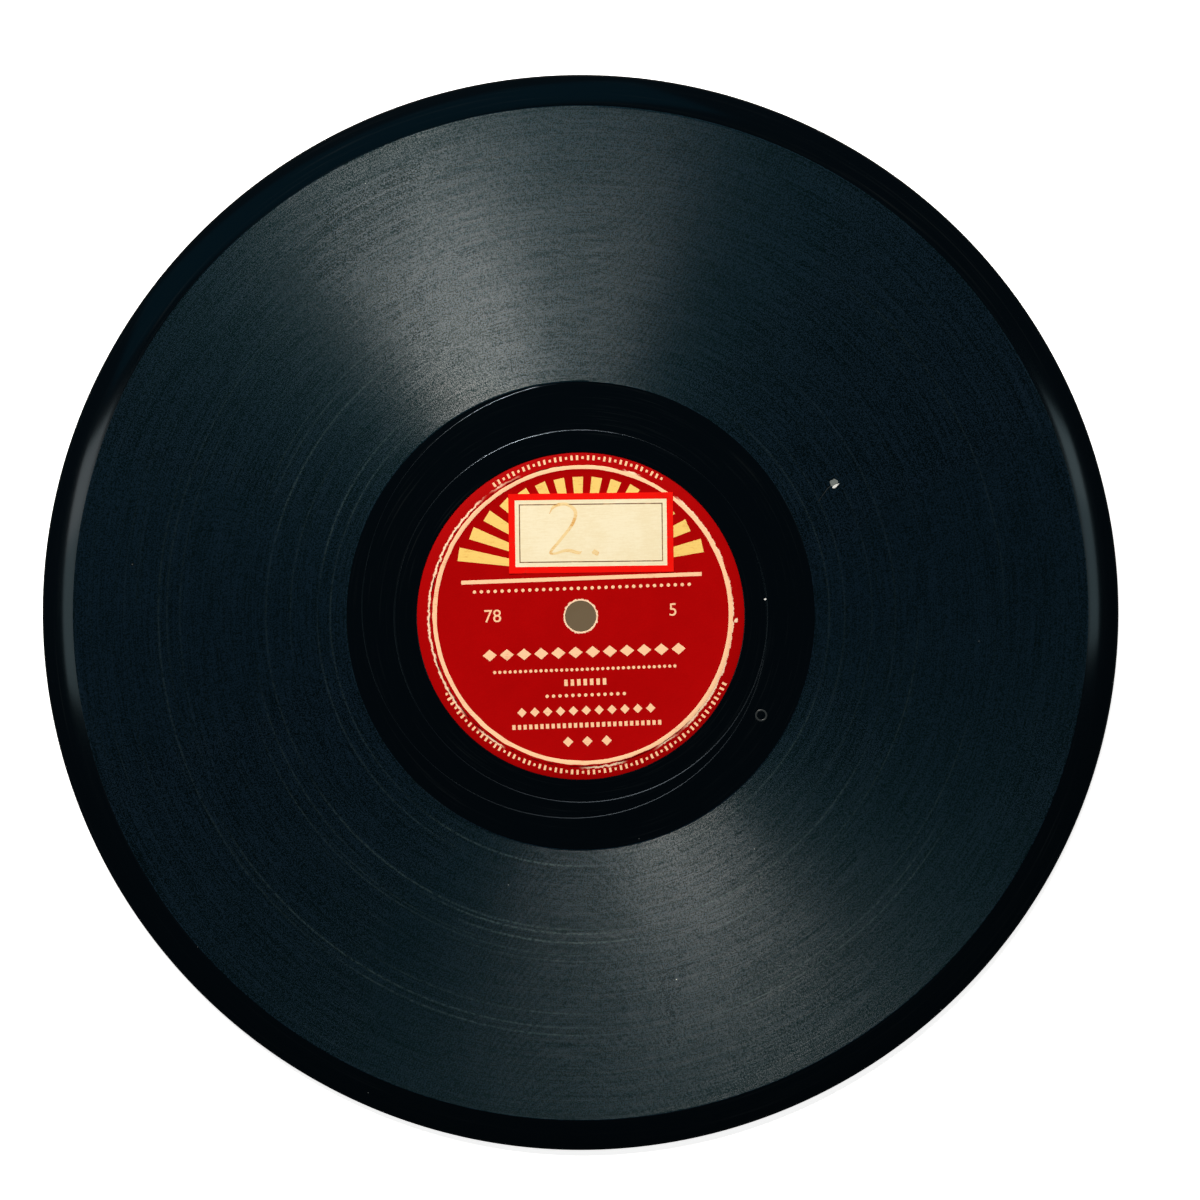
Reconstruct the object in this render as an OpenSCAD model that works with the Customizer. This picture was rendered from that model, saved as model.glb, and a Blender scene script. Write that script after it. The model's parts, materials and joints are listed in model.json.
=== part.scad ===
// Ten-inch double-sided shellac record: a pressed disc, a paper label on each side
// and a gummed number sticker on the front label.
// Millimetres. The spindle hole is on Z, the back lies on z = 0, the front faces +Z,
// and +Y points to the top of the front label.

/* [Disc] */
// Diameter over the rim
disc_d = 250.8; // [180:0.2:305]
// Thickness from the back lands to the front lands
disc_t = 2.1; // [1.6:0.05:3]
// Diameter of the spindle hole
spindle_d = 7.26; // [7.1:0.01:7.6]
// Width of the smooth margin outside the recorded band
margin_w = 7.2; // [4:0.1:12]
// Radius of the fully rounded rim
rim_r = 0.6; // [0.3:0.05:0.75]

/* [Grooves] */
// Radius where the recorded band ends towards the label
band_inner_r = 54.5; // [50:0.1:70]
// Mean depth of the recorded band below the lands
band_depth = 0.04; // [0.02:0.01:0.08]
// Radius of the locked run-out groove
locked_r = 43.4; // [41:0.1:47]
// Width of the run-out grooves at the land
runout_w = 0.35; // [0.2:0.05:0.6]
// Depth of the run-out grooves
runout_depth = 0.1; // [0.05:0.01:0.15]
// How much shallower the lead-out groove is than the locked groove
lead_out_rise = 0.03; // [0.01:0.01:0.04]
// Direction in which the lead-out groove leaves the recorded band, in degrees
lead_out_from = 86; // [0:1:359]

/* [Labels] */
// Diameter of each paper label
label_d = 76.2; // [72:0.1:80]
// Thickness of the label paper
label_t = 0.12; // [0.08:0.01:0.2]
// Depth of the label's face below the lands
label_sink = 0.2; // [0.16:0.01:0.4]
// Gap between the label's edge and the wall of its seat
label_gap = 0.05; // [0.02:0.01:0.2]
// Distance from the label's edge in to the crest of the ridge pressed up under it
ridge_inset = 3.5; // [2:0.1:8]
// Width of the pressed ridge
ridge_w = 2; // [1:0.1:3]
// Height of the pressed ridge
ridge_h = 0.1; // [0.05:0.01:0.15]

/* [Sticker] */
// Length of the sticker
sticker_l = 38.3; // [20:0.1:44]
// Height of the sticker
sticker_h = 18.5; // [10:0.1:22]
// Thickness of the gummed paper
sticker_t = 0.08; // [0.05:0.01:0.15]
// Distance of the sticker's middle to the right of the spindle hole
sticker_x = 3.1; // [-4:0.1:4]
// Distance of the sticker's middle below the top of the label
sticker_drop = 18.8; // [16:0.1:22]
// Turn of the sticker against the label, in degrees
sticker_turn = -1.4; // [-10:0.1:10]

/* [Hidden] */
$fn = 180;
half_t = disc_t / 2;
disc_r = disc_d / 2;
spindle_r = spindle_d / 2;
band_outer_r = disc_r - margin_w;
label_r = label_d / 2;
seat_r = label_r + label_gap;
seat_floor = half_t - label_sink - label_t;
// The margin is an arc, level at the band and tangent to the rim's round
margin_run = margin_w - rim_r;
margin_r = (margin_run ^ 2 + half_t ^ 2 - rim_r ^ 2) / (2 * (half_t - rim_r));
margin_angle = atan2(margin_run, margin_r - half_t);
// The ridge is one arc over its width
ridge_r = label_r - ridge_inset;
ridge_arc_r = (ridge_w ^ 2 / 4 + ridge_h ^ 2) / (2 * ridge_h);
ridge_angle = asin(ridge_w / 2 / ridge_arc_r);
sticker_y = label_r - sticker_drop;
// Segments along each arc of a profile
arc_steps = 10;
// The lead-out groove is three tangent quarter turns about the corners of a square.
// It starts inside the band and runs out in the middle of the locked groove
lead_out_arcs = 3;
lead_out_half_step = to_micron((band_inner_r + runout_w - locked_r) / lead_out_arcs / 2);
lead_out_last_r = to_micron(sqrt(locked_r ^ 2 - lead_out_half_step ^ 2) + lead_out_half_step);
// How far a cutter stands above the land that it cuts
proud = 0.05;

// Points of an arc about a centre, from one angle to another
function arc(centre, radius, from, to) =
    [for (i = [0:arc_steps])
        let (angle = from + (to - from) * i / arc_steps)
        [centre[0] + radius * cos(angle), centre[1] + radius * sin(angle)]];

// The same points in the other order
function reversed(points) = [for (i = [len(points) - 1:-1:0]) points[i]];

// The same points, moved up
function raised(points, height) = [for (p = points) [p[0], p[1] + height]];

// The same points, on the other side of the middle plane
function below(points) = [for (p = points) [p[0], -p[1]]];

// A length rounded to a thousandth, so that arcs which share it meet exactly
function to_micron(length) = round(length * 1000) / 1000;

// Line of the seat's floor with its ridge, from an inner to an outer radius
function seat_line(inner, outer) = concat(
    [[inner, seat_floor]],
    arc([ridge_r, seat_floor + ridge_h - ridge_arc_r], ridge_arc_r,
        90 + ridge_angle, 90 - ridge_angle),
    [[outer, seat_floor]]);

// Line of one face of the disc, from the spindle hole to the middle of the rim
function face_line() = concat(
    seat_line(spindle_r, seat_r),
    [[seat_r, half_t],
     [band_inner_r, half_t],
     [band_inner_r, half_t - band_depth],
     [band_outer_r, half_t - band_depth]],
    arc([band_outer_r, half_t - margin_r], margin_r, 90, 90 - margin_angle),
    arc([disc_r - rim_r, 0], rim_r, 90 - margin_angle, 0));

// A layer of paper over the seat's floor, from one height above it to another.
// The pin of the press goes through disc and paper alike, so their holes are one
module paper(low, high) {
    line = seat_line(spindle_r, label_r);
    rotate_extrude()
        polygon(concat(raised(line, high), reversed(raised(line, low))));
}

// Ring-shaped V groove below the front land, over part of a turn
module v_groove(radius, turn, depth) {
    half_w = runout_w / 2 / runout_depth * (depth + proud);
    rotate_extrude(angle = turn)
        translate([radius, half_t])
            polygon([[-half_w, proud], [0, -depth], [half_w, proud]]);
}

// Lead-out groove: from the band inwards to the locked groove
module lead_out_groove() {
    rotate([0, 0, lead_out_from])
        for (i = [0:lead_out_arcs - 1])
            rotate([0, 0, 90 * i])
                translate([lead_out_half_step, -lead_out_half_step, 0])
                    v_groove(lead_out_last_r + 2 * lead_out_half_step * (lead_out_arcs - 1 - i),
                             90, runout_depth - lead_out_rise);
}

// Both run-out grooves of the front face
module runout_grooves() {
    v_groove(locked_r, 360, runout_depth);
    lead_out_groove();
}

// Turns what is made for the front face over to the back
module to_back() {
    rotate([180, 0, 0])
        children();
}

// Lifts what is made about the middle plane onto z = 0
module on_back() {
    translate([0, 0, half_t])
        children();
}

module disc() {
    line = face_line();
    color("#12181c")
        on_back()
            difference() {
                rotate_extrude()
                    polygon(concat(line, reversed(below(line))));
                runout_grooves();
                to_back()
                    runout_grooves();
            }
}

module label() {
    color("#a00a14")
        paper(0, label_t);
}

module label_front() {
    on_back()
        label();
}

module label_back() {
    on_back()
        to_back()
            label();
}

module number_sticker() {
    color("#f2e4bc")
        on_back()
            intersection() {
                paper(label_t, label_t + sticker_t);
                translate([sticker_x, sticker_y])
                    rotate([0, 0, sticker_turn])
                        translate([-sticker_l / 2, -sticker_h / 2])
                            cube([sticker_l, sticker_h, disc_t]);
            }
}

disc();
label_front();
label_back();
number_sticker();
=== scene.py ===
"""Ten-inch shellac record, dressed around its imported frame.

Shapes are worked out in millimetres, with the spindle hole on Z, the back on z = 0 and the
top of the front label towards +Y, and become metres when a mesh is made.
"""
import json
import logging
import math
from collections.abc import Callable
from dataclasses import dataclass, field
from enum import Enum

import bpy
import numpy as np
from mathutils import Matrix, Vector


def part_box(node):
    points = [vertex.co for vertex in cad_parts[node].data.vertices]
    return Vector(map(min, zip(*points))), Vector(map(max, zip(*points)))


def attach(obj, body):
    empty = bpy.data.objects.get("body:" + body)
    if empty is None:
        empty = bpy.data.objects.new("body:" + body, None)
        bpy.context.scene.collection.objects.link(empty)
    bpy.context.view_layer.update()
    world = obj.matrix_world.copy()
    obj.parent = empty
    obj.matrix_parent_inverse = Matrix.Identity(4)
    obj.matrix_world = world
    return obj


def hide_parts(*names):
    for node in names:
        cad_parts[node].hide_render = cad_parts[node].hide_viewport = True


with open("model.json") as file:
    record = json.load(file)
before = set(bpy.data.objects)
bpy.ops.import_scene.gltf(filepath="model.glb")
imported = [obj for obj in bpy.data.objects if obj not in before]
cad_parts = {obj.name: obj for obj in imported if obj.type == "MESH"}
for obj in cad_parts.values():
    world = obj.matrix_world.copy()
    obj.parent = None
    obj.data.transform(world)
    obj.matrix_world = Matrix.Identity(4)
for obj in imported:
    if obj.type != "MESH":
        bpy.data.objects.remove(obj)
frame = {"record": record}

LOG = logging.getLogger("record")
MM = 0.001
TAU = 2.0 * math.pi
BAKE_MAP = "OFBake"
WEAR = "wear"
MATT = "matt"

Socket = bpy.types.NodeSocket
Colour = tuple[float, float, float]
Triple = tuple[float, float, float]
Pair = tuple[float, float]
HeightAt = Callable[[np.ndarray], np.ndarray]


class Side(Enum):
    """Face of the record that a piece belongs to."""

    FRONT = "front"
    BACK = "back"


@dataclass(frozen=True)
class MapLayout:
    """Where a round piece lies on its square bake map, in shares of the map's side.

    Attributes:
        top_r: Radius of the upper face.
        top_at: Middle of the upper face.
        low_r: Radius of the lower face.
        low_at: Middle of the lower face.
        wall_at: Corner of the unrolled walls.
        wall_w: Width and height of the unrolled walls.
    """

    top_r: float
    top_at: Pair
    low_r: float
    low_at: Pair
    wall_at: Pair
    wall_w: float


class Chart(Enum):
    """Bake map of a round piece: its lower face gets a small place, or as much as the upper one."""

    ONE_FACE = MapLayout(0.485, (0.5, 0.5), 0.065, (0.072, 0.072), (0.865, 0.865), 0.13)
    TWO_FACES = MapLayout(0.286, (0.292, 0.292), 0.286, (0.708, 0.708), (0.71, 0.01), 0.27)


# Shapes


@dataclass
class Surface:
    """Points and faces of one closed mesh.

    Attributes:
        points: One row of x, y and z for each point, in millimetres.
        faces: Arrays of point numbers, a row for each face. Each array has faces of one kind.
        charts: Places of the faces' corners on the bake map, as arrays like faces, or empty.
        values: Numbers for each point, by the name of the attribute that carries them.
    """

    points: np.ndarray
    faces: list[np.ndarray]
    charts: list[np.ndarray] = field(default_factory=list)
    values: dict[str, np.ndarray] = field(default_factory=dict)

    def turned_over(self, thickness: float) -> "Surface":
        """Same surface turned half round about X, from the front to the back of the disc.

        Args:
            thickness: Thickness of the disc.

        Returns:
            The turned surface.
        """
        x, y, z = self.points.T
        turned = np.stack([x, -y, thickness - z], axis=1)
        return Surface(turned, self.faces, self.charts, self.values)

    def moved(self, x: float, y: float) -> "Surface":
        """Same surface, moved along the disc."""
        return Surface(self.points + np.array([x, y, 0.0]), self.faces, self.charts, self.values)

    def to_object(
        self, name: str, material: bpy.types.Material, sharp: float = 30.0
    ) -> bpy.types.Object:
        """Puts the surface into a mesh object that rides on the root body.

        Args:
            name: Name of the piece.
            material: Its finish.
            sharp: Angle between faces, in degrees, past which an edge is shaded sharp.

        Returns:
            The object, at the origin.
        """
        mesh = bpy.data.meshes.new(name)
        corners = np.concatenate([part.ravel() for part in self.faces]).astype(np.int32)
        counts = np.concatenate([np.full(len(part), part.shape[1]) for part in self.faces])
        starts = (np.cumsum(counts) - counts).astype(np.int32)
        mesh.vertices.add(len(self.points))
        mesh.vertices.foreach_set("co", (self.points * MM).astype(np.float32).ravel())
        mesh.loops.add(len(corners))
        mesh.loops.foreach_set("vertex_index", corners)
        mesh.polygons.add(len(counts))
        mesh.polygons.foreach_set("loop_start", starts)
        mesh.update(calc_edges=True)
        mesh.shade_smooth()
        mesh.set_sharp_from_angle(angle=math.radians(sharp))
        if self.charts:
            layer = mesh.uv_layers.new(name=BAKE_MAP)
            places = np.concatenate([part.reshape(-1, 2) for part in self.charts])
            layer.uv.foreach_set("vector", places.astype(np.float32).ravel())
        for label, numbers in self.values.items():
            attribute = mesh.attributes.new(label, "FLOAT", "POINT")
            attribute.data.foreach_set("value", numbers.astype(np.float32))
        mesh.materials.append(material)
        piece = bpy.data.objects.new(name, mesh)
        bpy.context.scene.collection.objects.link(piece)
        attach(piece, "root")
        return piece


def joined(parts: list[Surface]) -> Surface:
    """Puts several surfaces without charts or values into one, side by side.

    Args:
        parts: The surfaces.

    Returns:
        One surface with all their points and faces.
    """
    counts = [len(part.points) for part in parts]
    starts = np.cumsum(counts) - counts
    points = np.concatenate([part.points for part in parts])
    faces = [array + start for part, start in zip(parts, starts) for array in part.faces]
    return Surface(points, faces)


def grid_faces(rows: int, columns: int, rows_close: bool, columns_close: bool) -> np.ndarray:
    """Faces of a grid of points that are numbered row by row.

    A face joins row i to row i + 1 and column j to column j + 1. It faces up where rows run
    outwards and columns run anticlockwise seen from above.

    Args:
        rows: Number of rows.
        columns: Number of columns.
        rows_close: Whether the last row joins the first.
        columns_close: Whether the last column joins the first.

    Returns:
        Four point numbers for each face.
    """
    i = np.arange(rows if rows_close else rows - 1)[:, None]
    j = np.arange(columns if columns_close else columns - 1)[None, :]
    up, along = (i + 1) % rows, (j + 1) % columns
    corners = [i * columns + j, up * columns + j, up * columns + along, i * columns + along]
    return np.stack(np.broadcast_arrays(*corners), axis=-1).reshape(-1, 4)


def round_chart(
    surface: Surface, reach: float, heights: np.ndarray, chart: Chart
) -> list[np.ndarray]:
    """Bake map of a round piece: its faces seen from above and below, its walls unrolled.

    A level face lies on the map as it is seen along Z. A wall lies in a corner of the map, by
    its angle about Z and by its height on the way along the profile.

    Args:
        surface: Piece about the Z axis, made of quads.
        reach: Largest radius of the piece.
        heights: For each point, how far along the profile it is, from 0 to 1.
        chart: Layout of the map.

    Returns:
        Places on the map for each array of faces.
    """
    layout = chart.value
    steep = 0.08
    places = []
    for quads in surface.faces:
        p = surface.points[quads]
        normal = np.cross(p[:, 2] - p[:, 0], p[:, 3] - p[:, 1])
        lift = normal[:, 2] / np.maximum(np.linalg.norm(normal, axis=1), 1e-12)
        top = np.array(layout.top_at) + p[:, :, :2] / reach * layout.top_r
        low = np.array(layout.low_at) + p[:, :, :2] * np.array([1.0, -1.0]) / reach * layout.low_r
        middle = np.arctan2(p[:, :, 1].sum(1), p[:, :, 0].sum(1))[:, None]
        bearing = np.arctan2(p[:, :, 1], p[:, :, 0])
        turn = middle + (bearing - middle + math.pi) % TAU - math.pi
        along = np.clip(turn / TAU + 0.5, 0.0, 1.0)
        unrolled = np.stack([along, heights[quads]], axis=-1)
        wall = np.array(layout.wall_at) + layout.wall_w * unrolled
        level = np.where((lift > 0.0)[:, None, None], top, low)
        places.append(np.where((np.abs(lift) < steep)[:, None, None], wall, level))
    return places


def revolved(radii: np.ndarray, levels: np.ndarray, chart: Chart | None = None) -> Surface:
    """Closed surface about Z, from a profile that may change with the angle.

    The point of row i and column j lies at radius radii[i, j] and height levels[i, j], turned
    by j parts of a full turn. The rows go up the inner side, out along the top, down the outer
    side and back in, and the last one joins the first.

    Args:
        radii: Radius for each row and column.
        levels: Height for each row and column.
        chart: Layout of the bake map, if the piece brings its own.

    Returns:
        The surface.
    """
    rows, columns = radii.shape
    turn = TAU * np.arange(columns) / columns
    points = np.stack([radii * np.cos(turn), radii * np.sin(turn), levels], axis=-1).reshape(-1, 3)
    surface = Surface(points, [grid_faces(rows, columns, True, True)])
    if chart is None:
        return surface
    steps = np.hypot(np.diff(radii[:, 0]), np.diff(levels[:, 0]))
    path = np.concatenate([[0.0], np.cumsum(steps)])
    heights = np.repeat(path / path[-1], columns)
    surface.charts = round_chart(surface, float(radii.max()), heights, chart)
    return surface


def even(profile: np.ndarray, columns: int) -> tuple[np.ndarray, np.ndarray]:
    """Spreads a profile of radius and height evenly over all columns.

    Args:
        profile: Radius and height of each row.
        columns: Number of columns.

    Returns:
        Radii and heights for each row and column.
    """
    radii = np.repeat(profile[:, :1], columns, axis=1)
    levels = np.repeat(profile[:, 1:], columns, axis=1)
    return radii, levels


def arc(centre: Pair, radius: float, start: float, end: float, steps: int) -> np.ndarray:
    """Points of a circle's arc between two angles in radians, ends included.

    Args:
        centre: Middle of the circle.
        radius: Its radius.
        start: First angle.
        end: Last angle.
        steps: Number of steps between them.

    Returns:
        x and y of each point.
    """
    turn = np.linspace(start, end, steps + 1)
    x, y = centre
    return np.stack([x + radius * np.cos(turn), y + radius * np.sin(turn)], axis=1)


def smooth_noise(turns: np.ndarray, seed: int, waves: int) -> np.ndarray:
    """Smooth random curve that closes over one turn: a sum of sines with falling heights.

    Args:
        turns: Angles in radians.
        seed: Seed of the random phases.
        waves: Number of sines.

    Returns:
        Values of about -1 to 1, one for each angle.
    """
    rng = np.random.default_rng(seed)
    count = np.arange(1, waves + 1)
    phase = rng.uniform(0.0, TAU, waves)
    height = rng.uniform(0.4, 1.0, waves) / np.sqrt(count)
    total = (height * np.sin(turns[..., None] * count + phase)).sum(-1)
    return total / np.sqrt((height**2).sum())


def ring_noise(rings: np.ndarray, shares: np.ndarray, seed: int, knots: int) -> np.ndarray:
    """Random values on rings, blended in straight lines from ring to ring and along each ring.

    Args:
        rings: Number of the ring for each place, with parts of a ring.
        shares: Part of a full turn for each place.
        seed: Seed of the random values.
        knots: Number of random values on each ring.

    Returns:
        Values with a spread of about 1, one for each place.
    """
    table = np.random.default_rng(seed).normal(0.0, 1.0, (int(rings.max()) + 2, knots))
    ring, knot = rings.astype(int), (shares * knots).astype(int)
    across, along = rings - ring, shares * knots - knot
    ahead = (knot + 1) % knots
    here = table[ring, knot] * (1.0 - along) + table[ring, ahead] * along
    after = table[ring + 1, knot] * (1.0 - along) + table[ring + 1, ahead] * along
    return here * (1.0 - across) + after * across


def plates(outlines: np.ndarray, height_at: HeightAt, rise: float, sink: float) -> Surface:
    """Thin flat plates with upright edges that lie on a curved face.

    The outline is carried straight up: its top stands above the face by the rise, and its
    bottom lies below the face by the sink.

    Args:
        outlines: Anticlockwise corners of each plate, as plate, corner and x or y.
        height_at: Height of the face for each radius.
        rise: How far the tops stand above the face.
        sink: How far the bottoms lie below it.

    Returns:
        One surface with all the plates.
    """
    count, corners, _ = outlines.shape
    flat = outlines.reshape(-1, 2)
    face = height_at(np.hypot(flat[:, 0], flat[:, 1]))
    top = np.column_stack([flat, face + rise])
    bottom = np.column_stack([flat, face - sink])
    upper = np.arange(count * corners).reshape(count, corners)
    lower = upper + count * corners
    ahead_up, ahead_low = np.roll(upper, -1, axis=1), np.roll(lower, -1, axis=1)
    walls = np.stack([lower, ahead_low, ahead_up, upper], axis=-1).reshape(-1, 4)
    return Surface(np.concatenate([top, bottom]), [upper, lower[:, ::-1], walls])


def ribbon(
    path: np.ndarray, widths: np.ndarray, levels: np.ndarray, rise: float, sink: float
) -> Surface:
    """Flat band along an open path, with upright sides and closed ends.

    At each point of the path the section is a box with a crowned top: half the width to the
    left and to the right, the sink below and the rise above.

    Args:
        path: x and y of the points along the middle.
        widths: Width at each point.
        levels: Height of the carrying face at each point.
        rise: Height of the crown.
        sink: Depth of the bottom.

    Returns:
        The band.
    """
    along = np.gradient(path, axis=0)
    along /= np.maximum(np.linalg.norm(along, axis=1, keepdims=True), 1e-9)
    right = np.stack([along[:, 1], -along[:, 0]], axis=1)
    shoulder = 0.4 * rise
    across = np.array([-0.5, -0.5, 0.0, 0.5, 0.5])[:, None]
    lift = np.array([-sink, shoulder, rise, shoulder, -sink])[:, None]
    places = path[None] + (across * widths)[..., None] * right[None]
    points = np.concatenate([places, (levels + lift)[..., None]], axis=-1)
    rows, columns, _ = points.shape
    start = np.arange(rows)[None, ::-1] * columns
    end = np.arange(rows)[None] * columns + columns - 1
    sides = grid_faces(rows, columns, True, False)
    return Surface(points.reshape(-1, 3), [sides, start, end])


def thickened(
    outline: np.ndarray, tris: np.ndarray, height_at: HeightAt, rise: float, sink: float
) -> Surface:
    """Gives a flat sheet of triangles a thickness.

    The sheet is doubled, one copy above the face and one below it, and a wall joins them along
    each edge that only one triangle has.

    Args:
        outline: x and y of each point.
        tris: Three point numbers for each triangle, anticlockwise.
        height_at: Height of the carrying face for each radius.
        rise: How far the top stands above the face.
        sink: How far the bottom lies below it.

    Returns:
        The closed surface.
    """
    face = height_at(np.hypot(outline[:, 0], outline[:, 1]))
    count = len(outline)
    top, bottom = (np.column_stack([outline, face + offset]) for offset in (rise, -sink))
    points = np.concatenate([top, bottom])
    edges = np.concatenate([tris[:, [0, 1]], tris[:, [1, 2]], tris[:, [2, 0]]])
    key = edges[:, 0] * count + edges[:, 1]
    lonely = ~np.isin(key, edges[:, 1] * count + edges[:, 0])
    a, b = edges[lonely].T
    walls = np.stack([a + count, b + count, b, a], axis=1)
    return Surface(points, [tris, tris[:, ::-1] + count, walls])


def curve_through(knots: np.ndarray, steps: int) -> np.ndarray:
    """Smooth curve through knots: a cubic between each two, with the neighbours' direction at each.

    Args:
        knots: x and y of each knot.
        steps: Points for each stretch between two knots.

    Returns:
        x and y of the points along the curve.
    """
    slope = np.gradient(knots, axis=0)
    t = np.linspace(0.0, 1.0, steps, endpoint=False)[None, :, None]
    p, q = knots[:-1, None], knots[1:, None]
    m, n = slope[:-1, None], slope[1:, None]
    curve = (p * (2.0 * t**3 - 3.0 * t**2 + 1.0) + m * (t**3 - 2.0 * t**2 + t)
             + q * (3.0 * t**2 - 2.0 * t**3) + n * (t**3 - t**2))
    return np.concatenate([curve.reshape(-1, 2), knots[-1:]])


# Finishes


class Wiring:
    """Short ways to add and join nodes in one node tree."""

    def __init__(self, tree: bpy.types.NodeTree) -> None:
        """Keeps the tree that nodes are added to."""
        self.tree = tree

    def node(self, kind: str, **inputs: object) -> bpy.types.Node:
        """Adds a node and sets or joins its inputs.

        Args:
            kind: Blender's name of the node type.
            **inputs: Values or sockets by the input's name, with _ for a space.

        Returns:
            The node.
        """
        node = self.tree.nodes.new(kind)
        for name, value in inputs.items():
            self.feed(node.inputs[name.replace("_", " ")], value)
        return node

    def feed(self, target: Socket, value: object) -> None:
        """Joins a socket to an input, or sets the input to a plain value.

        Args:
            target: The input.
            value: Socket or plain value.
        """
        if isinstance(value, Socket):
            self.tree.links.new(value, target)
        else:
            target.default_value = value

    def maths(
        self, operation: str, first: object, second: object = 0.0, third: object = 0.0
    ) -> Socket:
        """Adds a math node.

        Args:
            operation: Blender's name of the operation.
            first: First value or socket.
            second: Second value or socket.
            third: Third value or socket.

        Returns:
            The result's socket.
        """
        node = self.tree.nodes.new("ShaderNodeMath")
        node.operation = operation
        for target, value in zip(node.inputs, (first, second, third)):
            self.feed(target, value)
        return node.outputs[0]

    def ranged(
        self, value: Socket, low: float, high: float, start: float = 0.0, end: float = 1.0
    ) -> Socket:
        """Adds a smooth map from one range of values to another.

        Args:
            value: Socket to map.
            low: Value that becomes start.
            high: Value that becomes end.
            start: Result at low.
            end: Result at high.

        Returns:
            The result's socket.
        """
        node = self.tree.nodes.new("ShaderNodeMapRange")
        node.interpolation_type = "SMOOTHSTEP"
        for target, setting in zip(node.inputs, (value, low, high, start, end)):
            self.feed(target, setting)
        return node.outputs["Result"]

    def blended(self, share: object, first: object, second: object) -> Socket:
        """Adds a mix of two colours.

        Args:
            share: Share of the second colour.
            first: First colour.
            second: Second colour.

        Returns:
            The mixed colour's socket.
        """
        node = self.tree.nodes.new("ShaderNodeMix")
        node.data_type = "RGBA"
        self.feed(node.inputs["Factor"], share)
        self.feed(node.inputs["A"], rgba(first))
        self.feed(node.inputs["B"], rgba(second))
        return node.outputs["Result"]

    def noise(
        self, vector: Socket, scale: float, detail: object = 3.0, roughness: float = 0.5
    ) -> Socket:
        """Adds a noise texture and gives the socket of its values."""
        inputs = {"Vector": vector, "Scale": scale, "Detail": detail, "Roughness": roughness}
        return self.node("ShaderNodeTexNoise", **inputs).outputs["Fac"]

    def stretched(self, vector: Socket, scale: Triple) -> Socket:
        """Scales a vector by axis."""
        return self.node("ShaderNodeMapping", Vector=vector, Scale=scale).outputs["Vector"]

    def length(self, vector: Socket) -> Socket:
        """Measures a vector.

        Args:
            vector: Socket of the vector.

        Returns:
            The socket of its length.
        """
        node = self.node("ShaderNodeVectorMath", Vector=vector)
        node.operation = "LENGTH"
        return node.outputs["Value"]

    def carried(self, name: str) -> Socket:
        """Reads a number that the mesh carries for each point.

        Args:
            name: Name of the attribute.

        Returns:
            The number's socket.
        """
        node = self.tree.nodes.new("ShaderNodeAttribute")
        node.attribute_name = name
        return node.outputs["Fac"]

    def off(self, value: object, middle: float) -> Socket:
        """Measures how far a value lies from a middle, to either side."""
        return self.maths("ABSOLUTE", self.maths("SUBTRACT", value, middle))


def rgba(colour: object) -> object:
    """Gives a plain colour its fourth number, and leaves a socket as it is."""
    return (*colour, 1.0) if isinstance(colour, tuple) else colour


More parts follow.
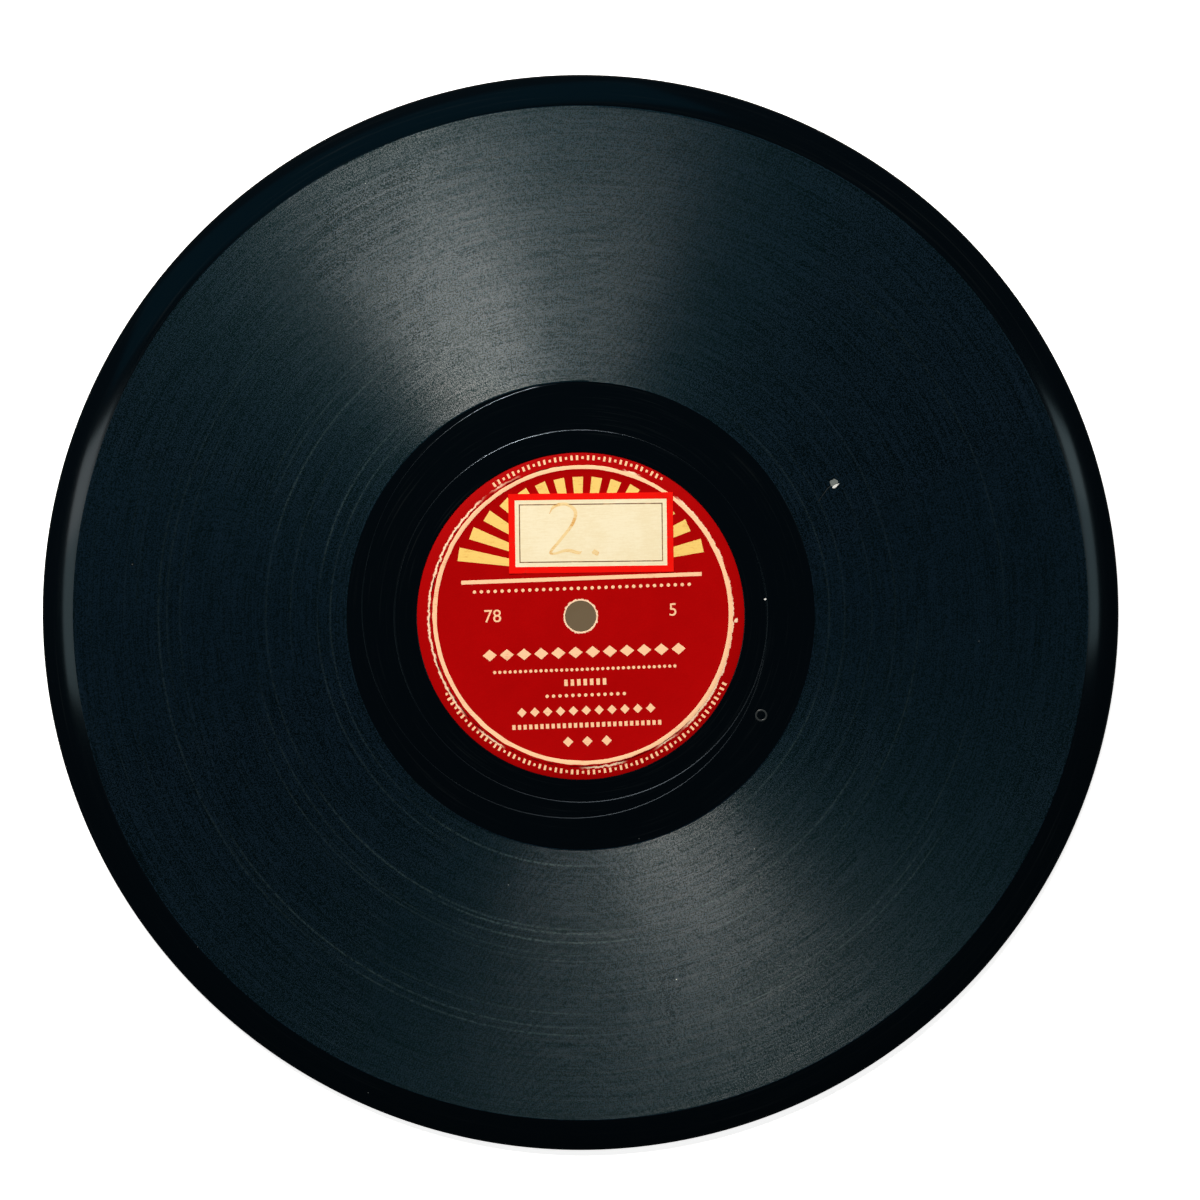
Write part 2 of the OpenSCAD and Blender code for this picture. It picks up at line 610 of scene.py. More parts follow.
@dataclass
class SharedEffects:
    """Node groups that several finishes use, each built once."""

    groups: dict[str, bpy.types.NodeTree] = field(default_factory=dict)

    def _group(
        self, name: str, inputs: list[str], outputs: list[str]
    ) -> tuple[Wiring, bpy.types.bpy_prop_collection, bpy.types.bpy_prop_collection]:
        """Starts a node group.

        Args:
            name: Name of the group.
            inputs: Names of its inputs; Vector is a vector and the rest are numbers.
            outputs: Names of its outputs, all numbers.

        Returns:
            The wiring, the inputs and the outputs to join.
        """
        tree = bpy.data.node_groups.new(name, "ShaderNodeTree")
        for label in inputs:
            kind = "NodeSocketVector" if label == "Vector" else "NodeSocketFloat"
            tree.interface.new_socket(name=label, in_out="INPUT", socket_type=kind)
        for label in outputs:
            tree.interface.new_socket(name=label, in_out="OUTPUT", socket_type="NodeSocketFloat")
        wiring = Wiring(tree)
        entry = tree.nodes.new("NodeGroupInput").outputs
        leave = tree.nodes.new("NodeGroupOutput").inputs
        self.groups[name] = tree
        return wiring, entry, leave

    def dust(self) -> bpy.types.NodeTree:
        """Group of sparse specks: a random few cells of a pattern carry one small round speck.

        Returns:
            The group.
        """
        if "dust" not in self.groups:
            w, entry, leave = self._group("dust", ["Vector", "Scale", "Share", "Size"], ["Speck"])
            cells = w.node("ShaderNodeTexVoronoi", Vector=entry["Vector"], Scale=entry["Scale"])
            chance = w.node("ShaderNodeSeparateColor", Color=cells.outputs["Color"]).outputs["Red"]
            chosen = w.maths("LESS_THAN", chance, entry["Share"])
            near = w.maths("DIVIDE", cells.outputs["Distance"], entry["Size"])
            w.feed(leave["Speck"], w.maths("MULTIPLY", chosen, w.ranged(near, 1.0, 0.5)))
        return self.groups["dust"]

    def fibre(self) -> bpy.types.NodeTree:
        """Group of paper fibre: fine noise, crossed by noise drawn out along the sheet.

        Returns:
            The group.
        """
        if "fibre" not in self.groups:
            w, entry, leave = self._group("fibre", ["Vector", "Scale"], ["Tone", "Height"])
            place = w.node("ShaderNodeVectorMath", Vector=entry["Vector"])
            place.operation = "SCALE"
            w.feed(place.inputs["Scale"], entry["Scale"])
            fine = w.noise(place.outputs["Vector"], 1.0, 4.0, 0.6)
            drawn = w.noise(w.stretched(place.outputs["Vector"], (0.25, 1.6, 1.0)), 1.0, 3.0)
            broad = w.noise(place.outputs["Vector"], 0.08, 2.0)
            height = w.maths("MULTIPLY_ADD", drawn, 0.6, w.maths("MULTIPLY", fine, 0.4))
            tone = w.maths("MULTIPLY_ADD", height, 0.6, w.maths("MULTIPLY", broad, 0.4))
            w.feed(leave["Height"], height)
            w.feed(leave["Tone"], tone)
        return self.groups["fibre"]

    def turns(self) -> bpy.types.NodeTree:
        """Group of ring-shaped traces: noise by radius and by direction, drawn out along the turn.

        Returns:
            The group.
        """
        if "turns" not in self.groups:
            inputs = ["Vector", "Fineness", "Length", "Detail"]
            w, entry, leave = self._group("turns", inputs, ["Trace"])
            part = w.node("ShaderNodeSeparateXYZ", Vector=entry["Vector"]).outputs
            across = w.maths("POWER", part["X"], 2.0)
            away = w.maths("SQRT", w.maths("MULTIPLY_ADD", part["Y"], part["Y"], across))
            reach = w.maths("MULTIPLY", away, entry["Length"])
            ring = w.node("ShaderNodeCombineXYZ", X=w.maths("MULTIPLY", away, entry["Fineness"]),
                          Y=w.maths("DIVIDE", part["X"], reach), Z=w.maths("DIVIDE", part["Y"], reach))
            w.feed(leave["Trace"], w.noise(ring.outputs["Vector"], 1.0, entry["Detail"], 0.65))
        return self.groups["turns"]


EFFECTS = SharedEffects()


def new_material(name: str) -> tuple[bpy.types.Material, Wiring, bpy.types.Node, Socket]:
    """Starts a material with a Principled shader.

    Args:
        name: Name of the finish.

    Returns:
        The material, its wiring, the shader and the socket of Object coordinates.
    """
    material = bpy.data.materials.new(name)
    material.use_nodes = True
    material.node_tree.nodes.clear()
    wiring = Wiring(material.node_tree)
    shader = wiring.node("ShaderNodeBsdfPrincipled")
    wiring.node("ShaderNodeOutputMaterial", Surface=shader.outputs["BSDF"])
    place = wiring.node("ShaderNodeTexCoord").outputs["Object"]
    return material, wiring, shader, place


def effect(
    wiring: Wiring, tree: bpy.types.NodeTree, **inputs: object
) -> bpy.types.bpy_prop_collection:
    """Places a shared effect in a material.

    Args:
        wiring: Wiring of the material.
        tree: Group of the effect.
        **inputs: Its inputs by name.

    Returns:
        The effect's output sockets.
    """
    node = wiring.tree.nodes.new("ShaderNodeGroup")
    node.node_tree = tree
    for name, value in inputs.items():
        wiring.feed(node.inputs[name], value)
    return node.outputs


def bumped(wiring: Wiring, height: Socket, distance: float, strength: float) -> Socket:
    """Adds a bump node.

    Args:
        wiring: Wiring of the material.
        height: Socket of the height.
        distance: Height of the bumps in metres.
        strength: Strength of the effect.

    Returns:
        The normal's socket.
    """
    node = wiring.node("ShaderNodeBump", Height=height, Distance=distance, Strength=strength)
    return node.outputs["Normal"]


@dataclass(frozen=True)
class ShellacFinish:
    """Pressed shellac compound, polished or grooved; the bright one is a painted highlight.

    Attributes:
        name: Name of the material.
        tone: Colour of the clean compound; the grooved one is lighter and bluer, holding painted sheen.
        dusty: Colour of specks and worn places.
        smooth: Roughness of the clean surface.
        matt: Roughness where the mesh carries a matt of 1.
        gloss: Specular level.
        tint: Colour of the reflections.
        film: Weight of the polished skin over the compound.
        film_rough: Roughness of that skin.
        grain: Contrast of the fine grain that the music gives to the grooves.
    """

    name: str
    tone: Colour
    dusty: Colour
    smooth: float
    matt: float
    gloss: float
    tint: Colour = (1.0, 1.0, 1.0)
    film: float = 0.0
    film_rough: float = 0.1
    grain: float = 0.0

    def material(self) -> bpy.types.Material:
        """Builds the material: grain and traces along the turns, dust, wear and matt places.

        Returns:
            The material.
        """
        material, w, shader, place = new_material(self.name)
        # Fineness, length and detail of haze, of beads on worn turns and of lines along the grooves
        kinds = ((2600.0, 0.5, 4.0), (2400.0, 0.009, 4.0), (3500.0, 0.16, 0.0))
        trace, beads, lines = (
            effect(w, EFFECTS.turns(), Vector=place, Fineness=fine, Length=long, Detail=detail)["Trace"]
            for fine, long, detail in kinds
        )
        # Both noises are 0.5 on average, so the grain leaves the mean as it is
        by_line, by_point = 0.2 * self.grain, 0.6 * self.grain
        streaks = w.maths("MULTIPLY_ADD", lines, by_line, 1.0 - (by_line + by_point) / 2.0)
        uneven = w.maths("MULTIPLY_ADD", w.noise(place, 4000.0, 0.0), by_point, streaks)
        speck = effect(w, EFFECTS.dust(), Vector=place, Scale=260.0, Share=0.04, Size=0.04)["Speck"]
        cloud = w.noise(place, 22.0, 3.0)
        patches = w.ranged(cloud, 0.35, 0.7, 0.3, 1.0)
        hazy = w.maths("MULTIPLY", patches, w.ranged(trace, 0.54, 0.8, 0.0, 0.22))
        broken = w.maths("MULTIPLY", w.carried(WEAR), w.ranged(beads, 0.36, 0.6))
        marked = w.maths("MAXIMUM", hazy, broken)
        dark, light = (tuple(v * (1.0 + k * self.grain) for v in self.tone) for k in (-0.15, 0.15))
        clean = w.blended(w.ranged(uneven, 0.5, 1.5), dark, light)
        worn = w.blended(marked, clean, self.dusty)
        dusted = w.blended(w.maths("MULTIPLY", speck, 0.7), worn, (0.20, 0.22, 0.22))
        w.feed(shader.inputs["Base Color"], dusted)
        polish = w.maths("MULTIPLY_ADD", w.carried(MATT), self.matt - self.smooth, self.smooth)
        w.feed(shader.inputs["Roughness"], w.maths("MULTIPLY_ADD", marked, 0.12, polish))
        if self.film:
            w.feed(shader.inputs["Coat Weight"], w.maths("MULTIPLY", uneven, self.film))
        shader.inputs["Specular IOR Level"].default_value = self.gloss
        shader.inputs["Specular Tint"].default_value = rgba(self.tint)
        shader.inputs["IOR"].default_value = 1.55
        shader.inputs["Coat Roughness"].default_value = self.film_rough
        shader.inputs["Coat IOR"].default_value = 1.5
        return material


POLISHED = ShellacFinish(
    "shellac_polished", tone=(0.0006, 0.0018, 0.0030), dusty=(0.03, 0.034, 0.035),
    smooth=0.09, matt=1.0, gloss=0.42, tint=(0.62, 0.75, 0.92),
)
# Partly painted sheen: the band's tone is lighter and bluer than the polished compound's, for light
# scattered in the grooves
GROOVED = ShellacFinish(
    "shellac_grooved", tone=(0.0019, 0.0046, 0.0091), dusty=(0.026, 0.043, 0.049),
    smooth=0.52, matt=0.52, gloss=0.090, tint=(0.15, 0.85, 1.0),
    film=0.156, film_rough=0.268, grain=6.0,
)
GROUND = ShellacFinish(
    "shellac_ground", tone=(0.0010, 0.0022, 0.0032), dusty=(0.02, 0.022, 0.022),
    smooth=0.7, matt=0.7, gloss=0.02,
)
BROKEN = ShellacFinish(
    "shellac_broken", tone=(0.13, 0.15, 0.15), dusty=(0.3, 0.32, 0.32),
    smooth=0.6, matt=0.6, gloss=0.2, grain=1.2,
)
# Painted highlight: near-white plates for light caught by the chip's broken edge and by a fleck
PAINTED_GLINT = ShellacFinish(
    "shellac_fractured", tone=(0.68, 0.70, 0.70), dusty=(0.8, 0.8, 0.8),
    smooth=0.5, matt=0.5, gloss=0.2, grain=0.4,
)
STAMPED = ShellacFinish(
    "shellac_stamped", tone=(0.022, 0.027, 0.030), dusty=(0.09, 0.1, 0.1),
    smooth=0.35, matt=0.35, gloss=0.3, grain=1.0,
)


@dataclass(frozen=True)
class LabelPaperFinish:
    """Red label paper with scuffs beside the pressed ridge, painted shade on its outer slope and a torn
    edge at the hole.

    Attributes:
        name: Name of the material.
        red: Colour of the printed ground.
        dark: Colour of its darker patches.
        bare: Colour of bared paper.
        hole_r: Radius of the spindle hole, in millimetres.
        ridge_r: Radius of the ridge's crest, in millimetres.
        nick: Place of a small torn nick, in millimetres.
    """

    name: str
    red: Colour
    dark: Colour
    bare: Colour
    hole_r: float
    ridge_r: float
    nick: Pair

    def material(self) -> bpy.types.Material:
        """Builds the material: fibre, darker patches, bared paper at the hole and at the ridge, and
        painted ridge shade.

        Returns:
            The material.
        """
        material, w, shader, place = new_material(self.name)
        fibre = effect(w, EFFECTS.fibre(), Vector=place, Scale=2600.0)
        speck = effect(w, EFFECTS.dust(), Vector=place, Scale=388.0, Share=0.03, Size=0.05)["Speck"]
        flat = w.stretched(place, (1.0, 1.0, 0.0))
        radius = w.length(flat)
        ragged = w.maths("SUBTRACT", w.noise(place, 1500.0, 4.0, 0.65), 0.5)
        torn = w.maths("MULTIPLY_ADD", ragged, 1.1 * MM, radius)
        coarse = w.maths("SUBTRACT", w.noise(place, 700.0, 4.0, 0.7), 0.5)
        frayed = w.maths("MULTIPLY_ADD", coarse, 1.5 * MM, radius)
        hole = w.ranged(torn, (self.hole_r + 0.45) * MM, (self.hole_r + 0.32) * MM)
        off_ridge = w.off(frayed, (self.ridge_r + 0.8) * MM)
        sides = w.maths("ABSOLUTE", w.node("ShaderNodeSeparateXYZ", Vector=place).outputs["X"])
        at_sides = w.ranged(sides, 18.0 * MM, 32.0 * MM)
        worn = w.maths("MULTIPLY_ADD", at_sides, 0.09, w.noise(place, 62.0, 2.0))
        patch = w.ranged(worn, 0.47, 0.55)
        scuff = w.maths("MULTIPLY", w.ranged(off_ridge, 0.30 * MM, 0.12 * MM), patch)
        # Painted shade: a thin, broken dark line on the ridge's outer slope, where its shadow would
        # fall
        ridge_shade_line = w.ranged(w.off(radius, (self.ridge_r + 0.52) * MM), 0.20 * MM, 0.06 * MM)
        gaps = w.ranged(w.noise(place, 420.0, 3.0), 0.46, 0.56)
        shade = w.maths("MULTIPLY", w.maths("MULTIPLY", ridge_shade_line, gaps), 0.85)
        ground = w.blended(fibre["Tone"], self.dark, self.red)
        to_nick = w.node("ShaderNodeVectorMath", Vector=flat)
        to_nick.operation = "DISTANCE"
        to_nick.inputs[1].default_value = (self.nick[0] * MM, self.nick[1] * MM, 0.0)
        from_nick = w.maths("MULTIPLY_ADD", coarse, 1.2 * MM, to_nick.outputs["Value"])
        nick = w.ranged(from_nick, 0.55 * MM, 0.35 * MM)
        bared = w.maths("MAXIMUM", hole, w.maths("MAXIMUM", scuff, w.maths("MULTIPLY", speck, 0.35)))
        pale = w.blended(w.maths("MAXIMUM", bared, nick), ground, self.bare)
        # The paper goes near black along the painted ridge shade
        w.feed(shader.inputs["Base Color"], w.blended(shade, pale, (0.03, 0.002, 0.002)))
        w.feed(shader.inputs["Roughness"], w.maths("MULTIPLY_ADD", fibre["Tone"], 0.22, 0.42))
        w.feed(shader.inputs["Normal"], bumped(w, fibre["Height"], 0.03 * MM, 0.5))
        shader.inputs["Specular IOR Level"].default_value = 0.03
        return material


@dataclass(frozen=True)
class InkFinish:
    """Printing ink or pencil on paper, thin in places.

    Attributes:
        name: Name of the material.
        ink: Colour of the full ink.
        thin: Colour where the ink is thin.
        grain: How fine the breaks in the ink are, per metre.
        cover: Share of the ink that is thin, from 0 to 1.
    """

    name: str
    ink: Colour
    thin: Colour
    grain: float
    cover: float

    def material(self) -> bpy.types.Material:
        """Builds the material: ink that breaks up along the paper's fibre.

        Returns:
            The material.
        """
        material, w, shader, place = new_material(self.name)
        fibre = effect(w, EFFECTS.fibre(), Vector=place, Scale=self.grain)
        worn = w.ranged(fibre["Tone"], 0.42 + 0.2 * self.cover, 0.30 + 0.2 * self.cover)
        w.feed(shader.inputs["Base Color"], w.blended(worn, self.ink, self.thin))
        w.feed(shader.inputs["Roughness"], w.maths("MULTIPLY_ADD", fibre["Tone"], 0.2, 0.45))
        w.feed(shader.inputs["Normal"], bumped(w, fibre["Height"], 0.02 * MM, 0.4))
        shader.inputs["Specular IOR Level"].default_value = 0.03
        return material


@dataclass(frozen=True)
class StickerPaperFinish:
    """Cream gummed paper, faintly mottled.

    Attributes:
        name: Name of the material.
        cream: Colour of the clean paper.
        aged: Colour of its yellowed patches.
    """

    name: str
    cream: Colour
    aged: Colour

    def material(self) -> bpy.types.Material:
        """Builds the material: fibre, yellowed patches and a few specks.

        Returns:
            The material.
        """
        material, w, shader, place = new_material(self.name)
        fibre = effect(w, EFFECTS.fibre(), Vector=place, Scale=1900.0)
        speck = effect(w, EFFECTS.dust(), Vector=place, Scale=700.0, Share=0.05, Size=0.09)["Speck"]
        aged = w.maths("MAXIMUM", w.ranged(fibre["Tone"], 0.62, 0.38), w.maths("MULTIPLY", speck, 0.8))
        w.feed(shader.inputs["Base Color"], w.blended(aged, self.cream, self.aged))
        w.feed(shader.inputs["Roughness"], w.maths("MULTIPLY_ADD", fibre["Tone"], 0.15, 0.6))
        w.feed(shader.inputs["Normal"], bumped(w, fibre["Height"], 0.02 * MM, 0.5))
        shader.inputs["Specular IOR Level"].default_value = 0.03
        return material


INK_CREAM = InkFinish(
    "ink_cream", ink=(0.97, 0.60, 0.36), thin=(0.86, 0.40, 0.24), grain=2100.0, cover=0.2
)
INK_STRAW = InkFinish(
    "ink_straw", ink=(0.88, 0.60, 0.17), thin=(0.78, 0.46, 0.12), grain=1700.0, cover=0.3
)
INK_RED = InkFinish(
    "ink_red", ink=(0.83, 0.006, 0.003), thin=(0.70, 0.02, 0.01), grain=1500.0, cover=0.2
)
INK_BROWN = InkFinish(
    "ink_brown", ink=(0.16, 0.07, 0.03), thin=(0.45, 0.26, 0.12), grain=2500.0, cover=0.5
)
PENCIL = InkFinish(
    "pencil_ochre", ink=(0.70, 0.37, 0.10), thin=(0.84, 0.64, 0.33), grain=3600.0, cover=0.9
)
GUMMED = StickerPaperFinish("sticker_cream", cream=(0.875, 0.792, 0.58), aged=(0.83, 0.725, 0.49))


# Sub-assemblies


@dataclass(frozen=True)
class WearArc:
    """Stretch of worn turns in the recorded band.

    Attributes:
        radius: Middle of the stretch.
        width: Its width across the turns.
        start: Angle where it starts, in degrees.
        end: Angle where it ends, in degrees.
        strength: Strength of the wear, from 0 to 1.
    """

    radius: float
    width: float
    start: float
    end: float
    strength: float


# Section of a run-out groove: places across it in groove widths, and shares of its depth there
GROOVE_ACROSS = np.array([-0.68, -0.56, -0.34, -0.12, 0.19, 0.5, 0.62])
GROOVE_DIP = np.array([0.0, 0.0, 0.5, 1.0, 0.5, 0.0, 0.0])

WORN_TURNS = (
    WearArc(58.2, 0.35, 105.0, 165.0, 0.7),
    WearArc(58.3, 0.35, 150.0, 235.0, 0.4),
    WearArc(58.4, 0.40, 225.0, 275.0, 0.9),
    WearArc(57.9, 0.40, 288.0, 345.0, 0.7),
    WearArc(57.9, 0.35, 335.0, 420.0, 0.35),
    WearArc(61.2, 0.40, 105.0, 175.0, 0.8),
    WearArc(61.3, 0.35, 170.0, 250.0, 0.4),
    WearArc(61.5, 0.30, 285.0, 420.0, 0.25),
    WearArc(67.6, 0.30, 130.0, 190.0, 0.3),
    WearArc(67.8, 0.30, 300.0, 405.0, 0.2),
    WearArc(73.2, 0.40, 118.0, 168.0, 0.7),
    WearArc(73.3, 0.35, 155.0, 215.0, 0.3),
    WearArc(73.3, 0.40, 205.0, 275.0, 0.75),
    WearArc(73.4, 0.40, 285.0, 335.0, 0.7),
    WearArc(73.3, 0.30, 325.0, 420.0, 0.2),
    WearArc(74.3, 0.40, 236.0, 278.0, 1.0),
    WearArc(76.4, 0.35, 130.0, 160.0, 0.4),
    WearArc(76.4, 0.35, 185.0, 230.0, 0.35),
    WearArc(76.4, 0.40, 243.0, 280.0, 1.0),
    WearArc(78.4, 0.30, 115.0, 160.0, 0.35),
    WearArc(78.5, 0.30, 215.0, 258.0, 0.35),
    WearArc(78.6, 0.30, 305.0, 360.0, 0.4),
    WearArc(79.4, 0.35, 190.0, 275.0, 0.4),
    WearArc(79.4, 0.30, 288.0, 318.0, 0.4),
    WearArc(80.8, 0.30, 240.0, 278.0, 0.3),
    WearArc(93.3, 0.30, 140.0, 200.0, 0.2),
    WearArc(93.1, 0.35, 232.0, 275.0, 0.4),
    WearArc(93.6, 0.30, 310.0, 345.0, 0.35),
    WearArc(96.3, 0.35, 105.0, 200.0, 0.25),
    WearArc(96.4, 0.40, 205.0, 275.0, 0.7),
    WearArc(96.4, 0.40, 285.0, 330.0, 0.6),
    WearArc(98.3, 0.40, 152.0, 240.0, 0.35),
    WearArc(98.2, 0.40, 228.0, 275.0, 0.65),
    WearArc(98.4, 0.40, 285.0, 330.0, 0.7),
    WearArc(98.7, 0.30, 350.0, 420.0, 0.25),
)


@dataclass
class PressedDisc:
    """Disc pressed from shellac compound, with its run-out grooves and its recorded band.

    Lengths are those of the part's source. The front face is worked out, and the back is the
    front turned over.

    Attributes:
        radius: Radius over the rim.
        thickness: Thickness from land to land.
        hole_r: Radius of the spindle hole.
        margin_w: Width of the smooth margin outside the band.
        rim_r: Radius of the rounded rim.
        band_inner_r: Radius where the recorded band ends.
        locked_r: Radius of the locked groove.
        runout_w: Width of the run-out grooves.
        runout_depth: Depth of the locked groove.
        lead_out_rise: How much shallower the lead-out groove is.
        lead_out_from: Direction in which it leaves the band, in degrees.
        seat_r: Radius of the label's seat.
        seat_depth: Depth of the seat.
        seat_edge: Width of the soft edge around the seat.
        columns: Columns of the round pieces.
        bed_depth: Depth of the bed that holds the band.
        band_gap: Width of the plain strip along each edge of the band.
        band_sharp: Angle past which the band's edges are shaded sharp, in degrees.
        turns: Number of turns of the recorded groove.
        steps_per_turn: Points along each turn.
        outward_slope: Slope of the groove's walls that face outwards, in degrees.
        inward_slope: Slope of the walls that face the label, in degrees.
        groove_matt: Matt of the run-out grooves' bottoms, from 0 to 1.
        dust_free: Share of the run-out grooves' depth that is free of dust.
        mark_rise: Height of small marks above the face.
        mark_sink: Depth of their feet below it.
    """

    radius: float
    thickness: float
    hole_r: float
    margin_w: float = 7.2
    rim_r: float = 0.6
    band_inner_r: float = 54.5
    locked_r: float = 43.4
    runout_w: float = 0.35
    runout_depth: float = 0.1
    lead_out_rise: float = 0.03
    lead_out_from: float = 86.0
    seat_r: float = 38.15
    seat_depth: float = 0.32
    seat_edge: float = 0.12
    columns: int = 360
    bed_depth: float = 0.25
    band_gap: float = 0.08
    band_sharp: float = 20.0
    turns: int = 244
    steps_per_turn: int = 180
    outward_slope: float = 21.0
    inward_slope: float = 28.4
    groove_matt: float = 0.36
    dust_free: float = 0.87
    mark_rise: float = 0.012
    mark_sink: float = 0.08

    @property
    def band_outer_r(self) -> float:
        """Radius where the recorded band starts."""
        return self.radius - self.margin_w

    def lead_out_path(self) -> tuple[np.ndarray, np.ndarray]:
        """Middle of the lead-out groove: three tangent quarter turns about a square's corners.

        Returns:
            Angles in radians, rising, and the radius at each.
        """
        arcs, steps = 3, 120
        half = (self.band_inner_r + self.runout_w - self.locked_r) / arcs / 2.0
        last = math.sqrt(self.locked_r**2 - half**2) + half
        quarter = np.arange(arcs)[:, None]
        sweep = np.linspace(0.0, math.pi / 2.0, steps + 1)[None, :]
        reach = last + 2.0 * half * (arcs - 1 - quarter)
        x, y = half + reach * np.cos(sweep), reach * np.sin(sweep) - half
        turn = np.arctan2(y, x) + math.radians(self.lead_out_from) + quarter * math.pi / 2.0
        return turn.ravel(), np.hypot(x, y).ravel()

    def land_rows(self, turn: np.ndarray) -> tuple[np.ndarray, np.ndarray, np.ndarray]:
        """Rows of the land between label and band, with both run-out grooves pressed in.

        Each groove is seven rows: a V whose bottom lies nearer the label, because dust lies against
        its outer wall. The lead-out groove's rows follow its path; over the rest of the turn they
        go back from the locked groove to the band without depth.

        Args:
            turn: Angle of each column.

        Returns:
            Radii, heights and matt surface for each row and column.
        """
        across, dip = GROOVE_ACROSS[:, None], self.dust_free * GROOVE_DIP[:, None]
        narrower = 1.0 - self.lead_out_rise / self.runout_depth
        # How near the lead-out rows come to the locked groove and the band; width of the first strip
        from_locked, from_band, first_step = 1.3 * self.runout_w, 0.7 * self.runout_w, 0.1
        path_turn, path_r = self.lead_out_path()
        since = (turn - path_turn[0]) % TAU
        length = path_turn[-1] - path_turn[0]
        inner, outer = self.locked_r + from_locked, self.band_inner_r - from_band
        free = np.interp(since, path_turn - path_turn[0], path_r)
        back = np.clip((since - length) / (TAU - length), 0.0, 1.0)
        gone = since > length
        middle = np.where(gone, inner + (outer - inner) * back**2 * (3.0 - 2.0 * back), free)
        fade_in = np.clip((self.band_inner_r - free) / self.runout_w, 0.0, 1.0)
        fade_out = np.clip((free - self.locked_r) / self.runout_w - 0.3, 0.0, 1.0)
        depth = np.where(gone, 0.0, (self.runout_depth - self.lead_out_rise) * fade_in * fade_out)
        middle = np.clip(middle, inner, outer)
        locked = np.full_like(turn, self.locked_r) + across * self.runout_w
        lead = middle + across * self.runout_w * narrower
        top = self.thickness
        edge = np.full((1, len(turn)), self.band_inner_r)
        start = np.full((1, len(turn)), self.seat_r + self.seat_edge)
        radii = np.concatenate([start, start + first_step, locked, lead, edge])
        flat, plain = np.full((1, len(turn)), top), np.zeros((1, len(turn)))
        inside = dip + plain
        deep, shallow = top - self.runout_depth * inside, top - depth * dip
        levels = np.concatenate([flat, flat, deep, shallow, flat])
        dull = self.groove_matt * inside
        matt = np.concatenate([plain, plain, dull, dull * (depth > 0.0), plain])
        return radii, levels, matt

    @property
    def margin_arc(self) -> Pair:
        """Section of the margin: a flat arc, level at the band and tangent to the rim's round.

        Returns:
            Radius of the arc, and the angle over which it runs.
        """
        run, half = self.margin_w - self.rim_r, self.thickness / 2.0
        arc_r = (run**2 + half**2 - self.rim_r**2) / (2.0 * (half - self.rim_r))
        return arc_r, math.atan2(run, arc_r - half)

    def body(self) -> Surface:
        """Disc without its rounded rim and its recorded bands, which lie in shallow beds.

        The profile goes up the spindle hole, over the label's seat, the land and the bed and
        along the margin's flat arc; the back half is the front turned over.

        Returns:
            The closed surface.
        """
        half, top = self.thickness / 2.0, self.thickness
        floor, bed = top - self.seat_depth, top - self.bed_depth
        arc_r, swing = self.margin_arc
        right, margin_steps = math.pi / 2.0, 16
        mid_seat, wall_drop, wall_round = 20.0, 0.1, 0.03
        inside = np.array([
            [self.hole_r, half], [self.hole_r, floor], [mid_seat, floor], [self.seat_r, floor],
            [self.seat_r, top - wall_drop], [self.seat_r + wall_round, top - wall_round],
        ])
        margin = arc((self.band_outer_r, top - arc_r), arc_r, right, right - swing, margin_steps)
        outside = np.concatenate([[[self.band_inner_r, bed], [self.band_outer_r, bed]], margin,
                                  [[margin[-1, 0], half]]])
        turn = TAU * np.arange(self.columns) / self.columns
        inner, outer = ((*even(rows, self.columns), np.zeros((len(rows), self.columns)))
                        for rows in (inside, outside))
        parts = (inner, self.land_rows(turn), outer)
        radii, levels, matt = (np.concatenate(rows) for rows in zip(*parts))
        mirrored = -np.arange(self.columns) % self.columns
        both = [np.concatenate([rows, turned[::-1][1:-1][:, mirrored]])
                for rows, turned in ((radii, radii), (levels, top - levels), (matt, matt))]
        surface = revolved(both[0], both[1], Chart.TWO_FACES)
        surface.values[MATT] = both[2].ravel()
        return surface

    def rim(self) -> Surface:
        """Rounded rim, ground matt: a ring whose section is an arc from margin to margin.

        Returns:
            The closed surface.
        """
        half = self.thickness / 2.0
        reach = math.pi / 2.0 - self.margin_arc[1]
        steps, foot_w, foot_inset = 28, 0.3, 0.1
        round_edge = arc((self.radius - self.rim_r, half), self.rim_r, reach, -reach, steps)
        inner = round_edge[0, 0] - foot_w
        low, high = round_edge[-1, 1] + foot_inset, round_edge[0, 1] - foot_inset
        back = np.array([[inner, low], [inner, high]])
        return revolved(*even(np.concatenate([back, round_edge]), self.columns))

    def wear_at(self, places: np.ndarray) -> np.ndarray:
        """Wear of the recorded band at each place.

        Each worn stretch is a bell curve across the turns. It fades in over the first quarter of
        its length and out over the last.

        Args:
            places: x and y of each place.

        Returns:
            Wear from 0 to 1.
        """
        away = np.hypot(places[:, 0], places[:, 1])
        bearing = np.degrees(np.arctan2(places[:, 1], places[:, 0]))
        wear = np.zeros(len(places))
        for worn in WORN_TURNS:
            inside = (bearing - worn.start) % 360.0 / (worn.end - worn.start)
            fade = np.clip(np.minimum(inside, 1.0 - inside) / 0.25, 0.0, 1.0)
            bell = np.exp(-((away - worn.radius) / worn.width * 2.0) ** 2)
            wear = np.maximum(wear, worn.strength * fade * bell)
        return wear

    def loudness(self, along: np.ndarray) -> np.ndarray:
        """How much deeper than its mean the recorded groove is at each place.

        Three random parts are added: swells along the groove, swells that neighbouring turns
        share, and fine ones from point to point.

        Args:
            along: Turns from the start of the groove.

        Returns:
            Share of the mean depth, about 0.
        """
        swells_per_turn, turns_per_ring, swells_per_ring = 5, 1.3, 6
        rng = np.random.default_rng(78)
        knots = rng.normal(0.0, 1.0, self.turns * swells_per_turn + 2)
        swells = np.interp(along * swells_per_turn, np.arange(len(knots)), knots)
        shared = ring_noise(along / turns_per_ring, along % 1.0, 7, swells_per_ring)
        fine = rng.normal(0.0, 1.0, len(along))
        return 0.012 * swells + 0.011 * shared + 0.02 * fine

